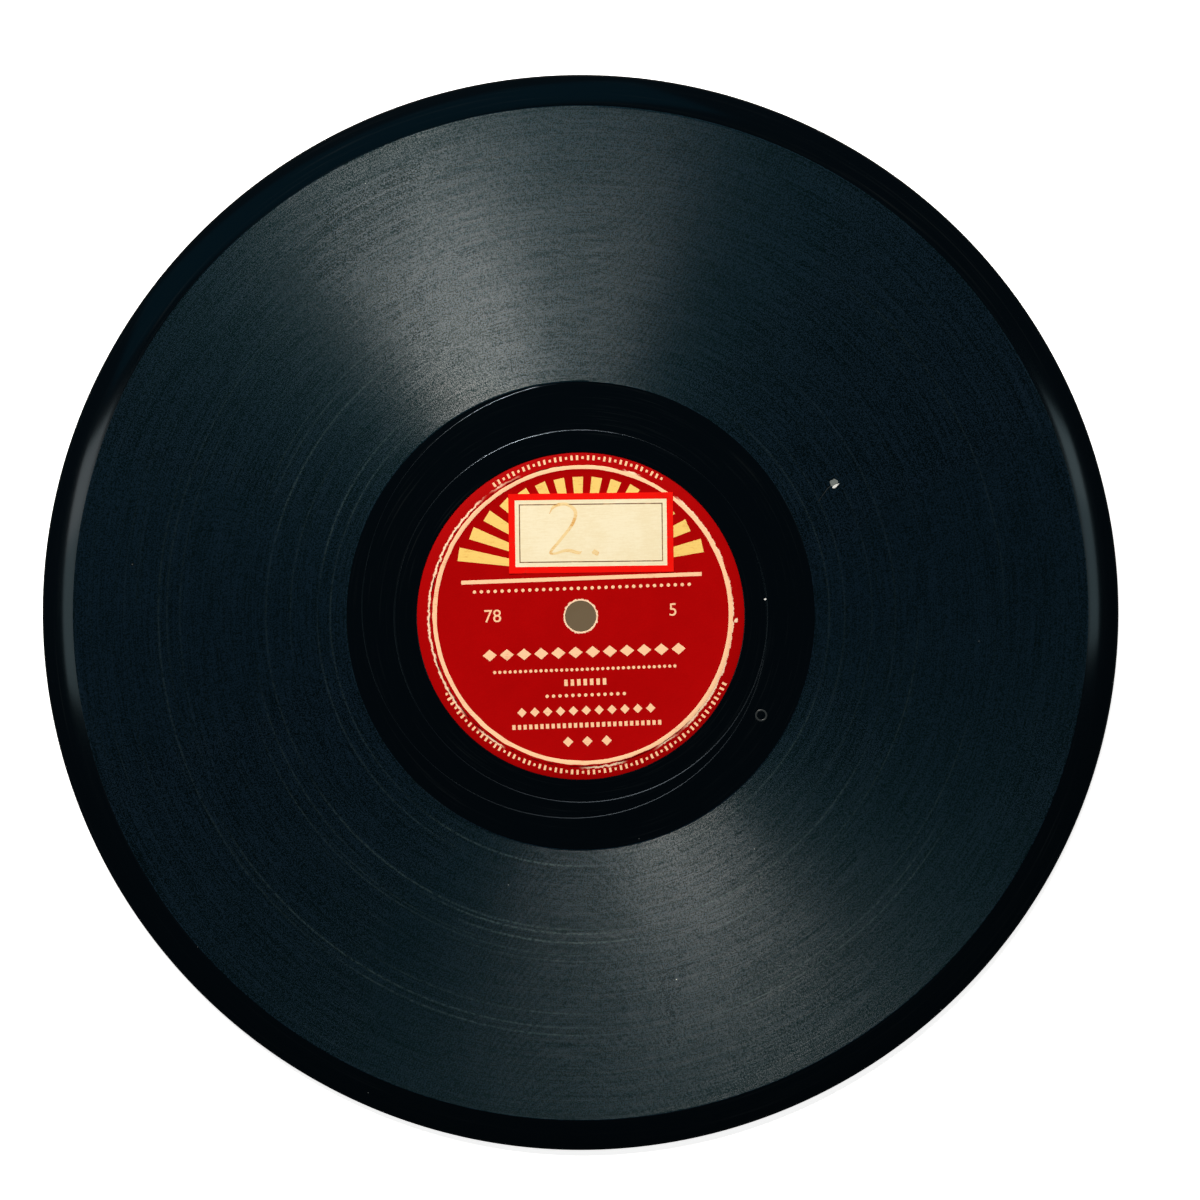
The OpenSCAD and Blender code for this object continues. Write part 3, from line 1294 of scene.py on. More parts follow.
    def band(self) -> Surface:
        """Recorded band of the front: a ring whose top is one V-shaped groove in a spiral.

        The crest of the wall between two turns lies at land height, and its radius falls by one
        pitch a turn. The bottom lies where the slopes of the two walls meet, a little deeper or
        shallower from turn to turn and along each turn.

        Returns:
            The closed surface, with its wear.
        """
        top, bed, steps = self.thickness, self.thickness - self.bed_depth, self.steps_per_turn
        pitch = (self.band_outer_r - self.band_inner_r - 2.0 * self.band_gap) / self.turns
        count = self.turns * steps
        start = math.radians(self.lead_out_from)
        crest = np.arange(count + 1)
        crest_turn = start + TAU * crest / steps
        crest_r = self.band_outer_r - self.band_gap - pitch * crest / steps
        valley = np.arange(count - steps + 1)
        runs = 1.0 / np.tan(np.radians([self.inward_slope, self.outward_slope]))
        valley_turn, valley_r = crest_turn[valley], crest_r[valley] - pitch * runs[0] / runs.sum()
        depth = pitch / runs.sum() * (1.0 + self.loudness(valley / steps))
        ring_turn = start + TAU * np.arange(steps) / steps
        edge_rows = np.array([[self.band_outer_r, top], [self.band_outer_r, bed],
                              [self.band_inner_r, bed], [self.band_inner_r, top]])
        turn = np.concatenate([crest_turn, valley_turn, np.tile(ring_turn, len(edge_rows))])
        away = np.concatenate([crest_r, valley_r, np.repeat(edge_rows[:, 0], steps)])
        edge_levels = np.repeat(edge_rows[:, 1], steps)
        level = np.concatenate([np.full(count + 1, top), top - depth, edge_levels])
        points = np.stack([away * np.cos(turn), away * np.sin(turn), level], axis=1)
        first_valley = count + 1
        outer = first_valley + len(valley)
        inner = outer + 3 * steps
        a, j = np.arange(count - steps), np.arange(steps)
        ahead = (j + 1) % steps
        v = first_valley + a
        last = count - steps
        walls = [np.stack([a, a + 1, v + 1, v], axis=1),
                 np.stack([v, v + 1, a + steps + 1, a + steps], axis=1),
                 np.stack([outer + j, outer + ahead, j + 1, j], axis=1),
                 np.stack([last + j, last + j + 1, inner + ahead, inner + j], axis=1)]
        ends = np.array([[outer, 0, first_valley, steps],
                         [inner, count, first_valley + last, last]])
        under = outer + grid_faces(len(edge_rows), steps, False, True)
        quads = np.concatenate([*walls, under])
        surface = Surface(points, [quads, ends])
        heights = np.concatenate([np.zeros(outer), np.repeat([0.0, 0.3, 0.6, 0.9], steps)])
        surface.charts = round_chart(surface, self.band_outer_r, heights, Chart.ONE_FACE)
        surface.values[WEAR] = self.wear_at(points)
        return surface

    def spot(self, at: Pair, size: Pair, lean: float, seed: int) -> Surface:
        """Thin ragged plate on the front: an ellipse whose radius wavers with the angle.

        Args:
            at: Middle of the spot.
            size: Half its length and half its width.
            lean: Angle of its length, in degrees.
            seed: Seed of the wavering.

        Returns:
            The closed surface.
        """
        corners, waver, waves = 24, 0.2, 6
        turn = TAU * np.arange(corners) / corners
        away = 1.0 + waver * smooth_noise(turn, seed, waves)
        u, v = size[0] * away * np.cos(turn), size[1] * away * np.sin(turn)
        swing = math.radians(lean)
        outline = np.stack([u * math.cos(swing) - v * math.sin(swing) + at[0],
                            u * math.sin(swing) + v * math.cos(swing) + at[1]], axis=1)
        return plates(outline[None], lambda r: np.full_like(r, self.thickness),
                      self.mark_rise, self.mark_sink)

    def chip(self) -> Surface:
        """Chipped place in the front band."""
        return self.spot(at=(59.92, 28.77), size=(0.95, 0.82), lean=70.0, seed=11)

    def scratch(self) -> Surface:
        """Faint scratch that leads to the chipped place and thins out away from it.

        Returns:
            The closed surface.
        """
        knots = np.array([[59.37, 28.27], [58.37, 27.47], [57.17, 25.97], [56.17, 24.67]])
        path = curve_through(knots, 6)
        widths, rise = np.linspace(0.16, 0.048, len(path)), 0.008
        return ribbon(path, widths, np.full(len(path), self.thickness), rise, self.mark_sink)

    def glints(self) -> Surface:
        """Painted highlights: a bright plate on the chip's broken edge, and a bright fleck by the
        locked groove.

        Returns:
            The closed surface.
        """
        on_chip = 0.008
        edge = self.spot(at=(60.14, 28.04), size=(0.85, 0.30), lean=29.0, seed=12)
        edge.points[:, 2] += on_chip
        return joined([edge, self.spot(at=(43.07, 2.37), size=(0.26, 0.22), lean=0.0, seed=13)])

    def stamp(self) -> Surface:
        """Small round ridge that the stamper left on the front land: a ring with a round back.

        Returns:
            The closed surface.
        """
        ring_r, half_w, rise, columns = 1.2, 0.2, 0.05, 48
        away, bearing = 48.0, math.radians(-30.9)
        top, foot = self.thickness, self.thickness - rise
        swing = np.linspace(0.0, math.pi, 7)
        back = np.stack([ring_r - half_w * np.cos(swing), top + rise * np.sin(swing)], axis=1)
        base = np.array([[ring_r + half_w, foot], [ring_r - half_w, foot]])
        ring = revolved(*even(np.concatenate([back, base]), columns))
        return ring.moved(away * math.cos(bearing), away * math.sin(bearing))

    def build(self) -> list[bpy.types.Object]:
        """Makes the disc, its rim, its two recorded bands and its marks, and dresses them.

        Returns:
            The pieces.
        """
        finishes = (POLISHED, GROOVED, GROUND, BROKEN, PAINTED_GLINT, STAMPED)
        polished, grooved, ground, broken, painted_glint, stamped = (f.material() for f in finishes)
        disc = self.body().to_object("record_disc", polished)
        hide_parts("disc")
        band = self.band()
        turned = band.turned_over(self.thickness)
        front = band.to_object("front_recorded_band", grooved, self.band_sharp)
        back = turned.to_object("back_recorded_band", grooved, self.band_sharp)
        # chip_glints are painted highlights
        rest = {"record_rim": (self.rim(), ground), "band_chip": (self.chip(), broken),
                "chip_glints": (self.glints(), painted_glint), "band_scratch": (self.scratch(), stamped),
                "land_stamp": (self.stamp(), stamped)}
        marks = [surface.to_object(name, finish) for name, (surface, finish) in rest.items()]
        pieces = [disc, front, back, *marks]
        return pieces


@dataclass
class PaperLabel:
    """Paper label in its seat, with a printed ring, a fan of rays and rows of ornaments.

    Attributes:
        side: Face of the record that it is on.
        node: Solid that its paper stands for.
        disc_t: Thickness of the disc.
        hole_r: Radius of the spindle hole.
        radius: Radius of the paper.
        number: Number printed on the right.
        paper_t: Thickness of the paper.
        sink: Depth of its face below the land.
        ridge_inset: Distance from its edge to the crest of the pressed ridge.
        ridge_w: Width of the ridge.
        ridge_h: Height of the ridge.
        ring_w: Width of the printed ring.
        ring_inset: Distance from the ridge's crest in to the middle of the ring.
        print_at: Middle of the print, which is a little off the hole.
        ink_t: Height of the ink above the paper.
        ink_sink: Depth of its foot below the paper's face.
        columns: Columns of the round pieces.
    """

    side: Side
    node: str
    disc_t: float
    hole_r: float
    radius: float
    number: str
    paper_t: float = 0.12
    sink: float = 0.2
    ridge_inset: float = 3.5
    ridge_w: float = 2.0
    ridge_h: float = 0.1
    ring_w: float = 0.95
    ring_inset: float = 0.15
    print_at: Pair = (0.5, 0.22)
    ink_t: float = 0.012
    ink_sink: float = 0.02
    columns: int = 360

    @property
    def ridge_r(self) -> float:
        """Radius of the pressed ridge's crest."""
        return self.radius - self.ridge_inset

    def face_at(self, away: np.ndarray) -> np.ndarray:
        """Height of the paper's face at each radius: level, with one arc over the ridge.

        Args:
            away: Radius of each place.

        Returns:
            Height of each place.
        """
        arc_r = (self.ridge_w**2 / 4.0 + self.ridge_h**2) / (2.0 * self.ridge_h)
        off = np.clip(np.abs(away - self.ridge_r), 0.0, self.ridge_w / 2.0)
        lift = np.sqrt(arc_r**2 - off**2) - arc_r + self.ridge_h
        return self.disc_t - self.sink + lift

    def paper(self) -> Surface:
        """Round sheet with the spindle hole, pressed over the ridge, with a softly cut edge.

        Returns:
            The closed surface.
        """
        hole_cut, edge_cut, cut_drop = 0.04, 0.08, 0.03
        at_hole = [self.hole_r, self.hole_r + hole_cut, 8.0, 20.0]
        ridge = self.ridge_r + np.linspace(-0.5, 0.5, 13) * self.ridge_w
        away = np.concatenate([at_hole, ridge, [self.radius - edge_cut, self.radius]])
        face = self.face_at(away)
        face[[0, -1]] -= cut_drop
        back = away[::-1]
        under = self.face_at(back) - self.paper_t
        profile = np.concatenate([np.stack([away, face], axis=1), np.stack([back, under], axis=1)])
        return revolved(*even(np.roll(profile, 1, axis=0), self.columns), Chart.ONE_FACE)

    def ring(self) -> Surface:
        """Printed ring on the ridge, with slightly ragged edges.

        Returns:
            The closed surface.
        """
        turn = TAU * np.arange(self.columns) / self.columns
        middle, half = self.ridge_r - self.ring_inset, self.ring_w / 2.0
        inner = middle - half + 0.05 * smooth_noise(turn, 5, 60)
        outer = middle + half + 0.09 * smooth_noise(turn, 6, 90)
        share = np.concatenate([[0.0], np.linspace(0.0, 1.0, 9), [1.0]])[:, None]
        away = inner + (outer - inner) * share
        lift = np.full_like(share, self.ink_t)
        lift[[0, -1]] = -self.ink_sink
        x, y = self.print_at
        from_hole = np.hypot(away * np.cos(turn) + x, away * np.sin(turn) + y)
        return revolved(away, self.face_at(from_hole) + lift).moved(x, y)

    def printed(self, outlines: np.ndarray) -> Surface:
        """Lays outlines on the paper as raised ink."""
        return plates(outlines, self.face_at, self.ink_t, self.ink_sink)

    def bars(self, at: np.ndarray, size: Pair) -> Surface:
        """Upright rectangles of one size at the given middles.

        Args:
            at: Middle of each.
            size: Width and height.

        Returns:
            The closed surface.
        """
        w, h = size[0] / 2.0, size[1] / 2.0
        outline = np.array([[-w, -h], [w, -h], [w, h], [-w, h]])
        return self.printed(at[:, None, :] + outline)

    def lozenges(self, at: np.ndarray, size: Pair) -> Surface:
        """Diamonds of one size at the given middles.

        Args:
            at: Middle of each.
            size: Width and height.

        Returns:
            The closed surface.
        """
        w, h = size[0] / 2.0, size[1] / 2.0
        outline = np.array([[0.0, -h], [w, 0.0], [0.0, h], [-w, 0.0]])
        return self.printed(at[:, None, :] + outline)

    def dots(self, at: np.ndarray, size: float) -> Surface:
        """Round dots of one diameter at the given middles.

        Args:
            at: Middle of each.
            size: Diameter.

        Returns:
            The closed surface.
        """
        corners = 14
        turn = TAU * np.arange(corners) / corners
        outline = size / 2.0 * np.stack([np.cos(turn), np.sin(turn)], axis=1)
        return self.printed(at[:, None, :] + outline)

    @staticmethod
    def row(level: float, length: float, count: int) -> np.ndarray:
        """Middles of ornaments that stand evenly in a row."""
        along = np.linspace(-length / 2.0, length / 2.0, count)
        return np.stack([along, np.full(count, level)], axis=1)

    def border(self) -> Surface:
        """Short radial bars outside the ring, over an arc at the top and one at the bottom.

        Every third bar is shorter.

        Returns:
            The closed surface.
        """
        top, bottom = np.linspace(58.0, 122.0, 33), np.linspace(208.0, 332.0, 63)
        turn = np.radians(np.concatenate([top, bottom]))
        middle, half_w, half_short, half_long = self.ridge_r + 2.05, 0.26, 0.3, 0.55
        out = np.stack([np.cos(turn), np.sin(turn)], axis=1)
        side = np.stack([-out[:, 1], out[:, 0]], axis=1)
        half = np.where(np.arange(len(turn)) % 3 == 0, half_short, half_long)
        corners = [(-1, -half_w), (1, -half_w), (1, half_w), (-1, half_w)]
        outline = [out * (middle + k * half)[:, None] + side * s for k, s in corners]
        return self.printed(np.stack(outline, axis=1))

    def rows(self) -> Surface:
        """Rule, rows of ornaments and border of the label.

        Returns:
            The closed surface.
        """
        parts = [
            self.border(),
            self.bars(np.array([[0.0, 8.6]]), (56.0, 0.9)),
            self.dots(self.row(6.3, 50.0, 32), 0.8),
            self.lozenges(self.row(-8.6, 44.0, 12), (3.3, 2.7)),
            self.dots(self.row(-12.6, 42.0, 36), 0.75),
            self.bars(self.row(-15.6, 9.0, 7), (0.8, 1.5)),
            self.dots(self.row(-18.6, 18.0, 13), 0.8),
            self.lozenges(self.row(-22.2, 30.0, 11), (2.2, 2.2)),
            self.bars(self.row(-25.6, 34.0, 27), (0.75, 1.1)),
            self.lozenges(self.row(-29.4, 9.0, 3), (2.4, 2.4)),
        ]
        return joined(parts)

    def fan(self) -> Surface:
        """Fan of tapered rays over the rule, each cut off at the printed ring's inner side.

        A ray's half width is a share of the distance from the fan's origin, larger at its far end.

        Returns:
            The closed surface.
        """
        rays, near_r, ring_gap, slim, broad = 15, 6.0, 2.4, 0.035, 0.055
        angle = np.radians(np.linspace(0.0, 180.0, rays + 2)[1:-1])
        origin = np.array([0.0, 9.6])
        way = np.stack([np.cos(angle), np.sin(angle)], axis=1)
        side = np.stack([-way[:, 1], way[:, 0]], axis=1)
        limit = self.ridge_r - ring_gap
        along = way @ origin
        far = -along + np.sqrt(along**2 + limit**2 - origin @ origin)
        near = np.full_like(far, near_r)
        corners = [(near, -slim), (far, -broad), (far, broad), (near, slim)]
        outline = [origin + way * r[:, None] + side * (r * k)[:, None] for r, k in corners]
        return self.printed(np.stack(outline, axis=1))

    def numeral(self, text: str, height: float, at: Pair) -> Surface:
        """Plain number as raised ink, from Blender's own lettering.

        Args:
            text: Digits to set.
            height: Size of the lettering.
            at: Middle of the number on the label.

        Returns:
            The closed surface.
        """
        curve = bpy.data.curves.new("numeral", "FONT")
        curve.body = text
        curve.align_x = "CENTER"
        curve.align_y = "CENTER"
        curve.size = height
        curve.resolution_u = 6
        curve.fill_mode = "FRONT"
        carrier = bpy.data.objects.new("numeral", curve)
        bpy.context.scene.collection.objects.link(carrier)
        graph = bpy.context.evaluated_depsgraph_get()
        mesh = bpy.data.meshes.new_from_object(carrier.evaluated_get(graph))
        flat = np.empty(len(mesh.vertices) * 3)
        mesh.vertices.foreach_get("co", flat)
        mesh.calc_loop_triangles()
        tris = np.empty(len(mesh.loop_triangles) * 3, np.int32)
        mesh.loop_triangles.foreach_get("vertices", tris)
        bpy.data.objects.remove(carrier)
        bpy.data.curves.remove(curve)
        bpy.data.meshes.remove(mesh)
        outline = flat.reshape(-1, 3)[:, :2] + np.array(at)
        return thickened(outline, tris.reshape(-1, 3), self.face_at, self.ink_t, self.ink_sink)

    def build(self) -> list[bpy.types.Object]:
        """Makes the paper and its print and gives them their finishes.

        Returns:
            The pieces.
        """
        paper = LabelPaperFinish(
            "label_red", red=(0.455, 0.0004, 0.0009), dark=(0.30, 0.0003, 0.0006),
            bare=(0.95, 0.68, 0.48), hole_r=self.hole_r, ridge_r=self.ridge_r,
            nick=(36.0, -2.3) if self.side is Side.FRONT else (-30.0, -22.6),
        ).material()
        cream, straw = INK_CREAM.material(), INK_STRAW.material()
        digits_h, digits_x, digits_y = 4.2, 21.0, 0.4
        numbers = [self.numeral("78", digits_h, (-digits_x, digits_y)),
                   self.numeral(self.number, digits_h, (digits_x, digits_y))]
        shapes = {"paper": (self.paper(), paper), "ring": (self.ring(), cream),
                  "ornaments": (joined([self.rows(), *numbers]).moved(*self.print_at), cream),
                  "fan": (self.fan().moved(*self.print_at), straw)}
        pieces = []
        for part, (surface, finish) in shapes.items():
            placed = surface if self.side is Side.FRONT else surface.turned_over(self.disc_t)
            piece = placed.to_object(f"{self.side.value}_label_{part}", finish)
            pieces.append(piece)
        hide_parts(self.node)
        return pieces


@dataclass
class NumberSticker:
    """Gummed sticker on the front label: cream paper, red border, thin rule, pencilled number.

    Attributes:
        label: Label that it is stuck on.
        length: Length of the sticker.
        height: Height of the sticker.
        paper_t: Thickness of the paper.
        x: Distance of its middle to the right of the spindle hole.
        y: Distance of its middle above the spindle hole.
        turn: Its turn against the label, in degrees.
        border_w: Width of the border.
        border_t: Height of the border above the paper.
        rule_inset: Distance of the rule from the edge.
        rule_w: Width of the rule.
        rule_t: Height of the rule above the paper.
        pencil_t: Height of the pencil strokes.
        print_sink: Depth of the print's foot below the paper's face.
        curl: How far the corners stand up.
        columns: Points along the sheet.
        rows: Points across the sheet.
    """

    label: PaperLabel
    length: float = 38.3
    height: float = 18.5
    paper_t: float = 0.08
    x: float = 3.1
    y: float = 19.3
    turn: float = -1.4
    border_w: float = 1.5
    border_t: float = 0.018
    rule_inset: float = 2.45
    rule_w: float = 0.24
    rule_t: float = 0.010
    pencil_t: float = 0.014
    print_sink: float = 0.03
    curl: float = 0.1
    columns: int = 121
    rows: int = 61

    def placed(self, local: np.ndarray) -> np.ndarray:
        """Turns and moves places on the sticker to the label.

        Args:
            local: Places on the sticker, about its middle.

        Returns:
            Places about the spindle hole.
        """
        swing = math.radians(self.turn)
        cos, sin = math.cos(swing), math.sin(swing)
        return local @ np.array([[cos, sin], [-sin, cos]]) + np.array([self.x, self.y])

    def face_at(self, local: np.ndarray) -> np.ndarray:
        """Height of the sticker's face: the label's face, the paper and a slight curl.

        The curl starts where the product of both distances from the middle, in halves of the
        sides, is past a limit, and grows with the square up to the corners.

        Args:
            local: Places on the sticker, about its middle.

        Returns:
            Height of each place.
        """
        on_label = self.placed(local)
        base = self.label.face_at(np.hypot(on_label[..., 0], on_label[..., 1]))
        u, v = local[..., 0] / self.length * 2.0, local[..., 1] / self.height * 2.0
        limit, full = 0.55, 0.2
        lift = self.curl * np.clip(np.abs(u * v) - limit, 0.0, 1.0) ** 2 / full
        return base + self.paper_t + lift

    def sheet(self) -> Surface:
        """Paper of the sticker: a grid with a top, a bottom on the label and upright edges.

        Returns:
            The closed surface.
        """
        u = np.linspace(-0.5, 0.5, self.columns) * self.length
        v = np.linspace(-0.5, 0.5, self.rows) * self.height
        local = np.stack(np.meshgrid(v, u, indexing="ij")[::-1], axis=-1)
        flat = local.reshape(-1, 2)
        spots, top = self.placed(flat), self.face_at(flat)
        levels = (top, top - self.paper_t)
        points = np.concatenate([np.column_stack([spots, level]) for level in levels])
        count = len(flat)
        upper = grid_faces(self.rows, self.columns, False, False)[:, ::-1]
        grid = np.arange(count).reshape(self.rows, self.columns)
        loop = np.concatenate([grid[0, :-1], grid[:-1, -1], grid[-1, :0:-1], grid[:0:-1, 0]])
        ahead = np.roll(loop, -1)
        walls = np.stack([loop + count, ahead + count, ahead, loop], axis=1)
        return Surface(points, [upper, upper[:, ::-1] + count, walls])

    def frame(self, outer: float, inner: float, lift: float) -> Surface:
        """Printed frame between two insets from the sticker's edge.

        The section, up the inner side, over the top and down the outer side, goes once round
        the sticker's rectangle.

        Args:
            outer: Inset of the frame's outer side.
            inner: Inset of its inner side.
            lift: How far it stands above the paper.

        Returns:
            The closed surface.
        """
        steps = np.linspace(-1.0, 1.0, self.columns)[:-1]
        one = np.ones_like(steps)
        square = np.concatenate([np.stack([steps, -one], 1), np.stack([one, steps], 1),
                                 np.stack([-steps, one], 1), np.stack([-one, -steps], 1)])
        size = np.array([self.length, self.height]) / 2.0
        share = np.concatenate([[0.0], np.linspace(0.0, 1.0, 7), [1.0]])[:, None, None]
        local = square[None] * (size - inner - (outer - inner) * share)
        rise = np.full((len(share), 1), lift)
        rise[[0, -1]] = -self.print_sink
        level = self.face_at(local) + rise
        points = np.concatenate([self.placed(local), level[..., None]], axis=-1)
        rows, columns, _ = points.shape
        return Surface(points.reshape(-1, 3), [grid_faces(rows, columns, True, True)])

    def stroke(self, knots: np.ndarray, width: float, seed: int) -> Surface:
        """Pencil stroke through knots: a smooth curve with a width that wavers and thin ends.

        Args:
            knots: Places on the sticker that the curve passes.
            width: Mean width.
            seed: Seed of the wavering.

        Returns:
            The closed surface.
        """
        taper, tip, waver, waves = 12.0, 0.25, 0.22, 14
        path = curve_through(knots, 24)
        share = np.linspace(0.0, 1.0, len(path))
        ends = np.clip(np.minimum(share, 1.0 - share) * taper, tip, 1.0)
        widths = width * ends * (1.0 + waver * smooth_noise(share * 3.0, seed, waves))
        surface = ribbon(path, widths, self.face_at(path), self.pencil_t, self.print_sink)
        surface.points[:, :2] = self.placed(surface.points[:, :2])
        return surface

    def build(self) -> list[bpy.types.Object]:
        """Makes the sticker and its print and gives them their finishes.

        Returns:
            The pieces.
        """
        finishes = (GUMMED, INK_RED, INK_BROWN, PENCIL)
        paper, red, brown, pencil = (finish.material() for finish in finishes)
        two = np.array([[-9.6, 4.6], [-8.4, 6.3], [-5.6, 6.7], [-3.6, 5.0], [-4.3, 2.1], [-7.0, -1.4],
                        [-9.4, -4.3], [-8.4, -4.7], [-5.6, -4.0], [-3.0, -4.6], [-2.2, -4.2]])
        dot = np.array([[0.3, -4.9], [0.9, -4.3], [1.3, -4.7], [0.9, -5.2]])
        border = self.frame(0.0, self.border_w, self.border_t)
        rule = self.frame(self.rule_inset, self.rule_inset + self.rule_w, self.rule_t)
        number = joined([self.stroke(two, width=0.66, seed=3), self.stroke(dot, width=0.8, seed=4)])
        shapes = {"sticker_paper": (self.sheet(), paper), "sticker_border": (border, red),
                  "sticker_rule": (rule, brown), "sticker_number": (number, pencil)}
        pieces = []
        for name, (surface, finish) in shapes.items():
            piece = surface.to_object(name, finish)
            pieces.append(piece)
        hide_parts("number_sticker")
        return pieces


# Studio


@dataclass(frozen=True)
class AreaLight:
    """Rectangular soft light.

    Attributes:
        name: Name of the light.
        place: Middle of the light in metres.
        target: Point that it faces.
        size: Its width and height in metres.
        power: Its power in watts.
        colour: Its colour.
        up: Direction that its height leans to.
    """

    name: str
    place: Triple
    target: Triple
    size: Pair
    power: float
    colour: Colour
    up: Triple = (0.0, 1.0, 0.0)

    def add(self) -> None:
        """Puts the light into the scene."""
        lamp = bpy.data.lights.new(self.name, "AREA")
        lamp.shape = "RECTANGLE"
        lamp.size, lamp.size_y = self.size
        lamp.energy = self.power
        lamp.color = self.colour
        holder = bpy.data.objects.new(self.name, lamp)
        holder.matrix_world = facing(self.place, self.target, self.up)
        holder.visible_camera = False
        bpy.context.scene.collection.objects.link(holder)


def facing(place: Triple, target: Triple, up: Triple) -> Matrix:
    """Matrix of an object at a place whose -Z looks at a target.

    Args:
        place: Its place.
        target: What it looks at.
        up: Direction that its Y leans to.

    Returns:
        The matrix.
    """
    back = (Vector(place) - Vector(target)).normalized()
    right = Vector(up).cross(back).normalized()
    above = back.cross(right)
    turned = Matrix((right, above, back)).transposed().to_4x4()
    return Matrix.Translation(place) @ turned


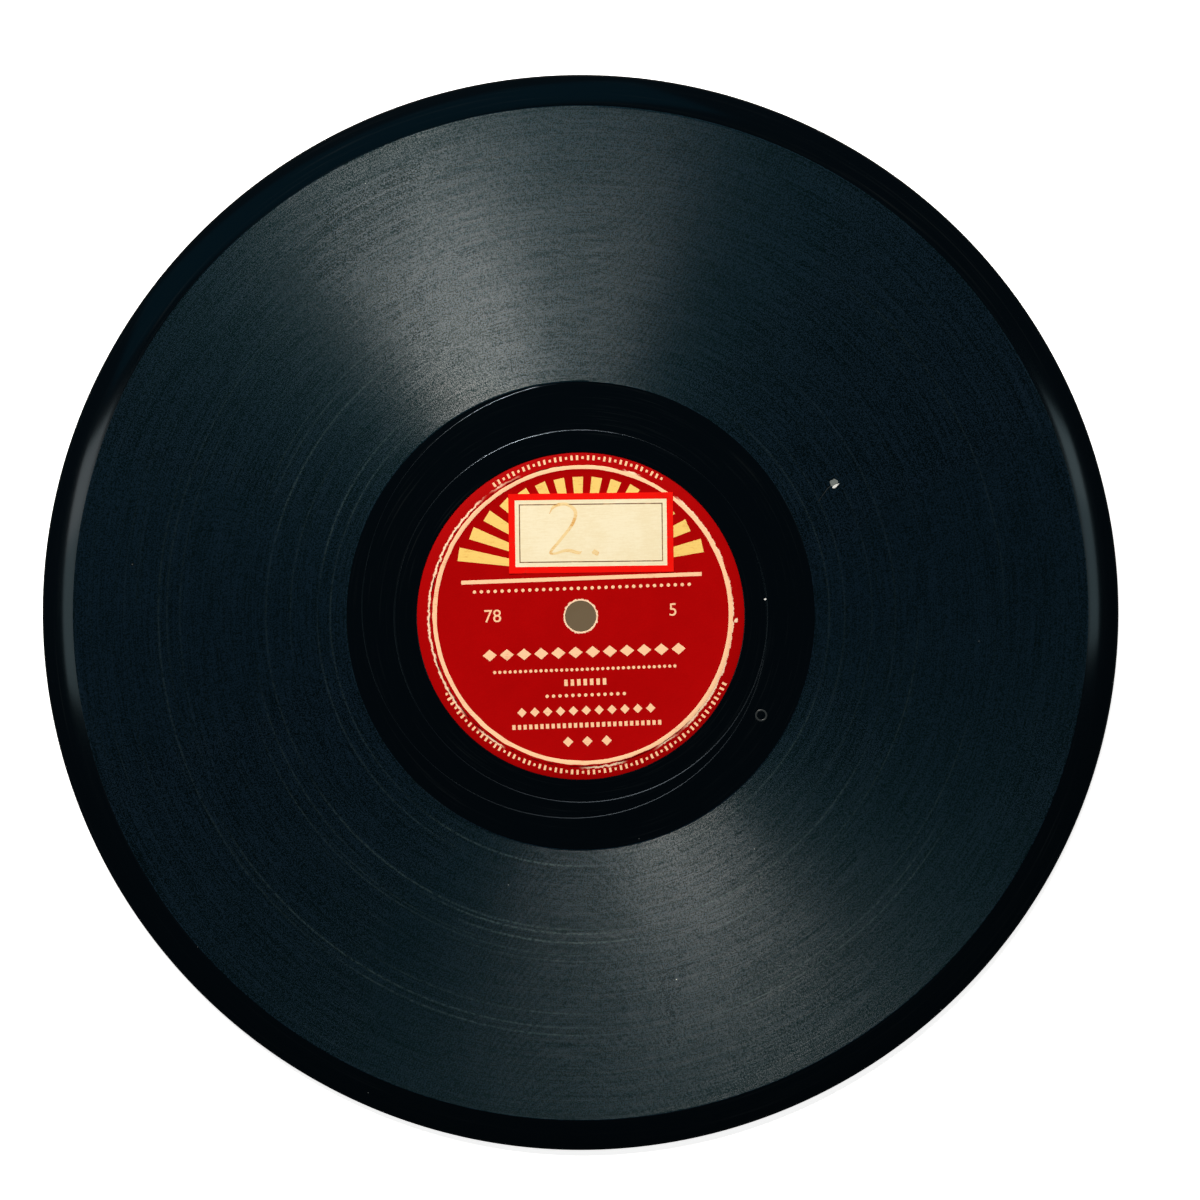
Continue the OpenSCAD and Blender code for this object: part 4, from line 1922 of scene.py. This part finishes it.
@dataclass
class Studio:
    """Camera, lights, floor and surroundings, in metres.

    Attributes:
        view_roll: Turn of the camera about its line of sight, in degrees.
        camera_at: Place of the camera.
        lens: Its focal length in millimetres.
        sensor_w: Width of its sensor in millimetres.
        shift: Its shift, in shares of the picture.
        light_away: Distance of the windows from the spindle hole.
    """

    view_roll: float = 2.1
    camera_at: Triple = (0.0, 0.022, 0.630)
    lens: float = 81.0
    sensor_w: float = 36.0
    shift: Pair = (0.0161, 0.0133)
    light_away: float = 0.91

    def camera(self) -> None:
        """Adds the camera, straight above the record but for a slight tilt and roll."""
        data = bpy.data.cameras.new("camera")
        data.lens = self.lens
        data.sensor_width = self.sensor_w
        data.shift_x, data.shift_y = self.shift
        data.clip_start = 0.01
        camera = bpy.data.objects.new("camera", data)
        roll = math.radians(self.view_roll)
        up = (math.sin(roll), math.cos(roll), 0.0)
        camera.matrix_world = facing(self.camera_at, (0.0, 0.0, 0.0), up)
        bpy.context.scene.collection.objects.link(camera)
        bpy.context.scene.camera = camera

    def window_at(self, bearing: float, height: float) -> Triple:
        """Place of a window light.

        Args:
            bearing: Direction from the spindle hole, in degrees from +X.
            height: Angle above the floor, in degrees.

        Returns:
            Its x, y and z in metres.
        """
        turn, rise = math.radians(bearing), math.radians(height)
        level = self.light_away * math.cos(rise)
        return level * math.cos(turn), level * math.sin(turn), self.light_away * math.sin(rise)

    def lights(self) -> None:
        """Adds two windows that light up the grooves, and five cards that the margin reflects."""
        centre, upright, warm = (0.0, 0.0, 0.0), (0.0, 0.0, 1.0), (1.0, 0.945, 0.858)
        left, right, top = (-0.12, 0.01, 0.0), (0.12, 0.01, 0.0), (-0.02, 0.12, 0.0)
        windows = (
            AreaLight("key", self.window_at(112.0, 41.4), centre, (0.288, 0.03), 8.6, warm, upright),
            AreaLight("side", self.window_at(94.0, 41.0), centre, (0.45, 0.03), 4.3, warm, upright),
        )
        cards = (
            AreaLight("card_left", (-0.258, 0.0188, 0.60), left, (0.068, 0.143), 0.0435,
                      (0.861, 1.000, 0.886)),
            AreaLight("card_left_top", (-0.258, 0.0575, 0.60), left, (0.068, 0.0557), 0.0163,
                      (1.000, 0.756, 0.616)),
            AreaLight("card_top", (-0.11, 0.25, 0.60), top, (0.40, 0.12), 0.021,
                      (0.03, 0.736, 1.0), (-0.37, 0.93, 0.0)),
            AreaLight("card_right", (0.2662, 0.017, 0.60), right, (0.0595, 0.128), 0.0308,
                      (0.824, 1.000, 0.906)),
            AreaLight("card_right_top", (0.2662, 0.0507, 0.60), right, (0.0595, 0.039), 0.0047,
                      (1.000, 0.984, 0.802)),
        )
        for light in (*windows, *cards):
            light.add()

    def surroundings(self) -> None:
        """Sets a sky that is pale at the horizon and dark overhead."""
        world = bpy.data.worlds.new("studio")
        bpy.context.scene.world = world
        world.use_nodes = True
        world.node_tree.nodes.clear()
        w = Wiring(world.node_tree)
        way = w.node("ShaderNodeTexCoord").outputs["Generated"]
        height = w.node("ShaderNodeSeparateXYZ", Vector=way).outputs["Z"]
        pale = w.ranged(height, 0.36, 0.10, 0.012, 0.7)
        sky = w.node("ShaderNodeBackground", Color=(1.0, 1.0, 1.0, 1.0), Strength=pale)
        w.node("ShaderNodeOutputWorld", Surface=sky.outputs["Background"])

    def floor(self) -> None:
        """Adds a large round pale floor just under the record.

        It is clear from below, so that the back shows. Under the spindle hole it is black and glows
        brown: painted shade of a table seen through the hole.
        """
        columns, level, radii = 96, -0.0005, np.array([[1e-5], [0.5], [6000.0]])
        turn = TAU * np.arange(columns) / columns
        levels = np.full((len(radii), columns), level)
        grid = np.stack([radii * np.cos(turn), radii * np.sin(turn), levels], axis=-1)
        surface = Surface(grid.reshape(-1, 3), [grid_faces(len(radii), columns, False, True)])
        material, w, shader, place = new_material("floor_pale")
        # Painted shade: under the spindle hole the floor is black and glows in the brown of a shaded
        # table, so that no shadow falls in the hole
        outside_hole_shade = w.ranged(w.length(place), 5.5 * MM, 7.5 * MM)
        tone = w.ranged(w.noise(place, 3.0, 2.0), 0.3, 0.7)
        pale = w.blended(tone, (0.86, 0.86, 0.86), (0.88, 0.88, 0.88))
        w.feed(shader.inputs["Base Color"], w.blended(outside_hole_shade, (0.0, 0.0, 0.0), pale))
        shader.inputs["Roughness"].default_value = 0.9
        shader.inputs["Specular IOR Level"].default_value = 0.1
        # Even white glow over the floor, with the painted hole shade in brown
        glow = w.blended(outside_hole_shade, (0.155, 0.109, 0.061), (0.85, 0.85, 0.85))
        w.feed(shader.inputs["Emission Color"], glow)
        shader.inputs["Emission Strength"].default_value = 1.0
        underside = w.node("ShaderNodeNewGeometry").outputs["Backfacing"]
        w.feed(shader.inputs["Alpha"], w.maths("SUBTRACT", 1.0, underside))
        surface.to_object("floor", material)

    def build(self) -> None:
        """Adds all of the studio."""
        self.camera()
        self.lights()
        self.surroundings()
        self.floor()
        bpy.context.scene.view_settings.view_transform = "Standard"


def main() -> None:
    """Builds the studio and the record."""
    logging.basicConfig(level=logging.INFO, format="%(name)s: %(message)s")
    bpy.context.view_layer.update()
    low, high = (np.array(corner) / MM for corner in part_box("disc"))
    label_low, label_high = (np.array(corner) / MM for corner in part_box("label_front"))
    hole_r = next(m["dims"]["r_mm"] for m in frame["record"]["mounts"] if m["name"] == "spindle_hole")
    thickness, label_r = float(high[2] - low[2]), float(label_high[0] - label_low[0]) / 2.0
    Studio().build()
    disc = PressedDisc(float(high[0] - low[0]) / 2.0, thickness, hole_r)
    front = PaperLabel(Side.FRONT, "label_front", thickness, hole_r, label_r, "5")
    back = PaperLabel(Side.BACK, "label_back", thickness, hole_r, label_r, "6")
    sticker = NumberSticker(front)
    for assembly in (disc, front, back, sticker):
        for piece in assembly.build():
            LOG.info("%s: %d faces", piece.name, len(piece.data.polygons))


if __name__ == "__main__":
    main()
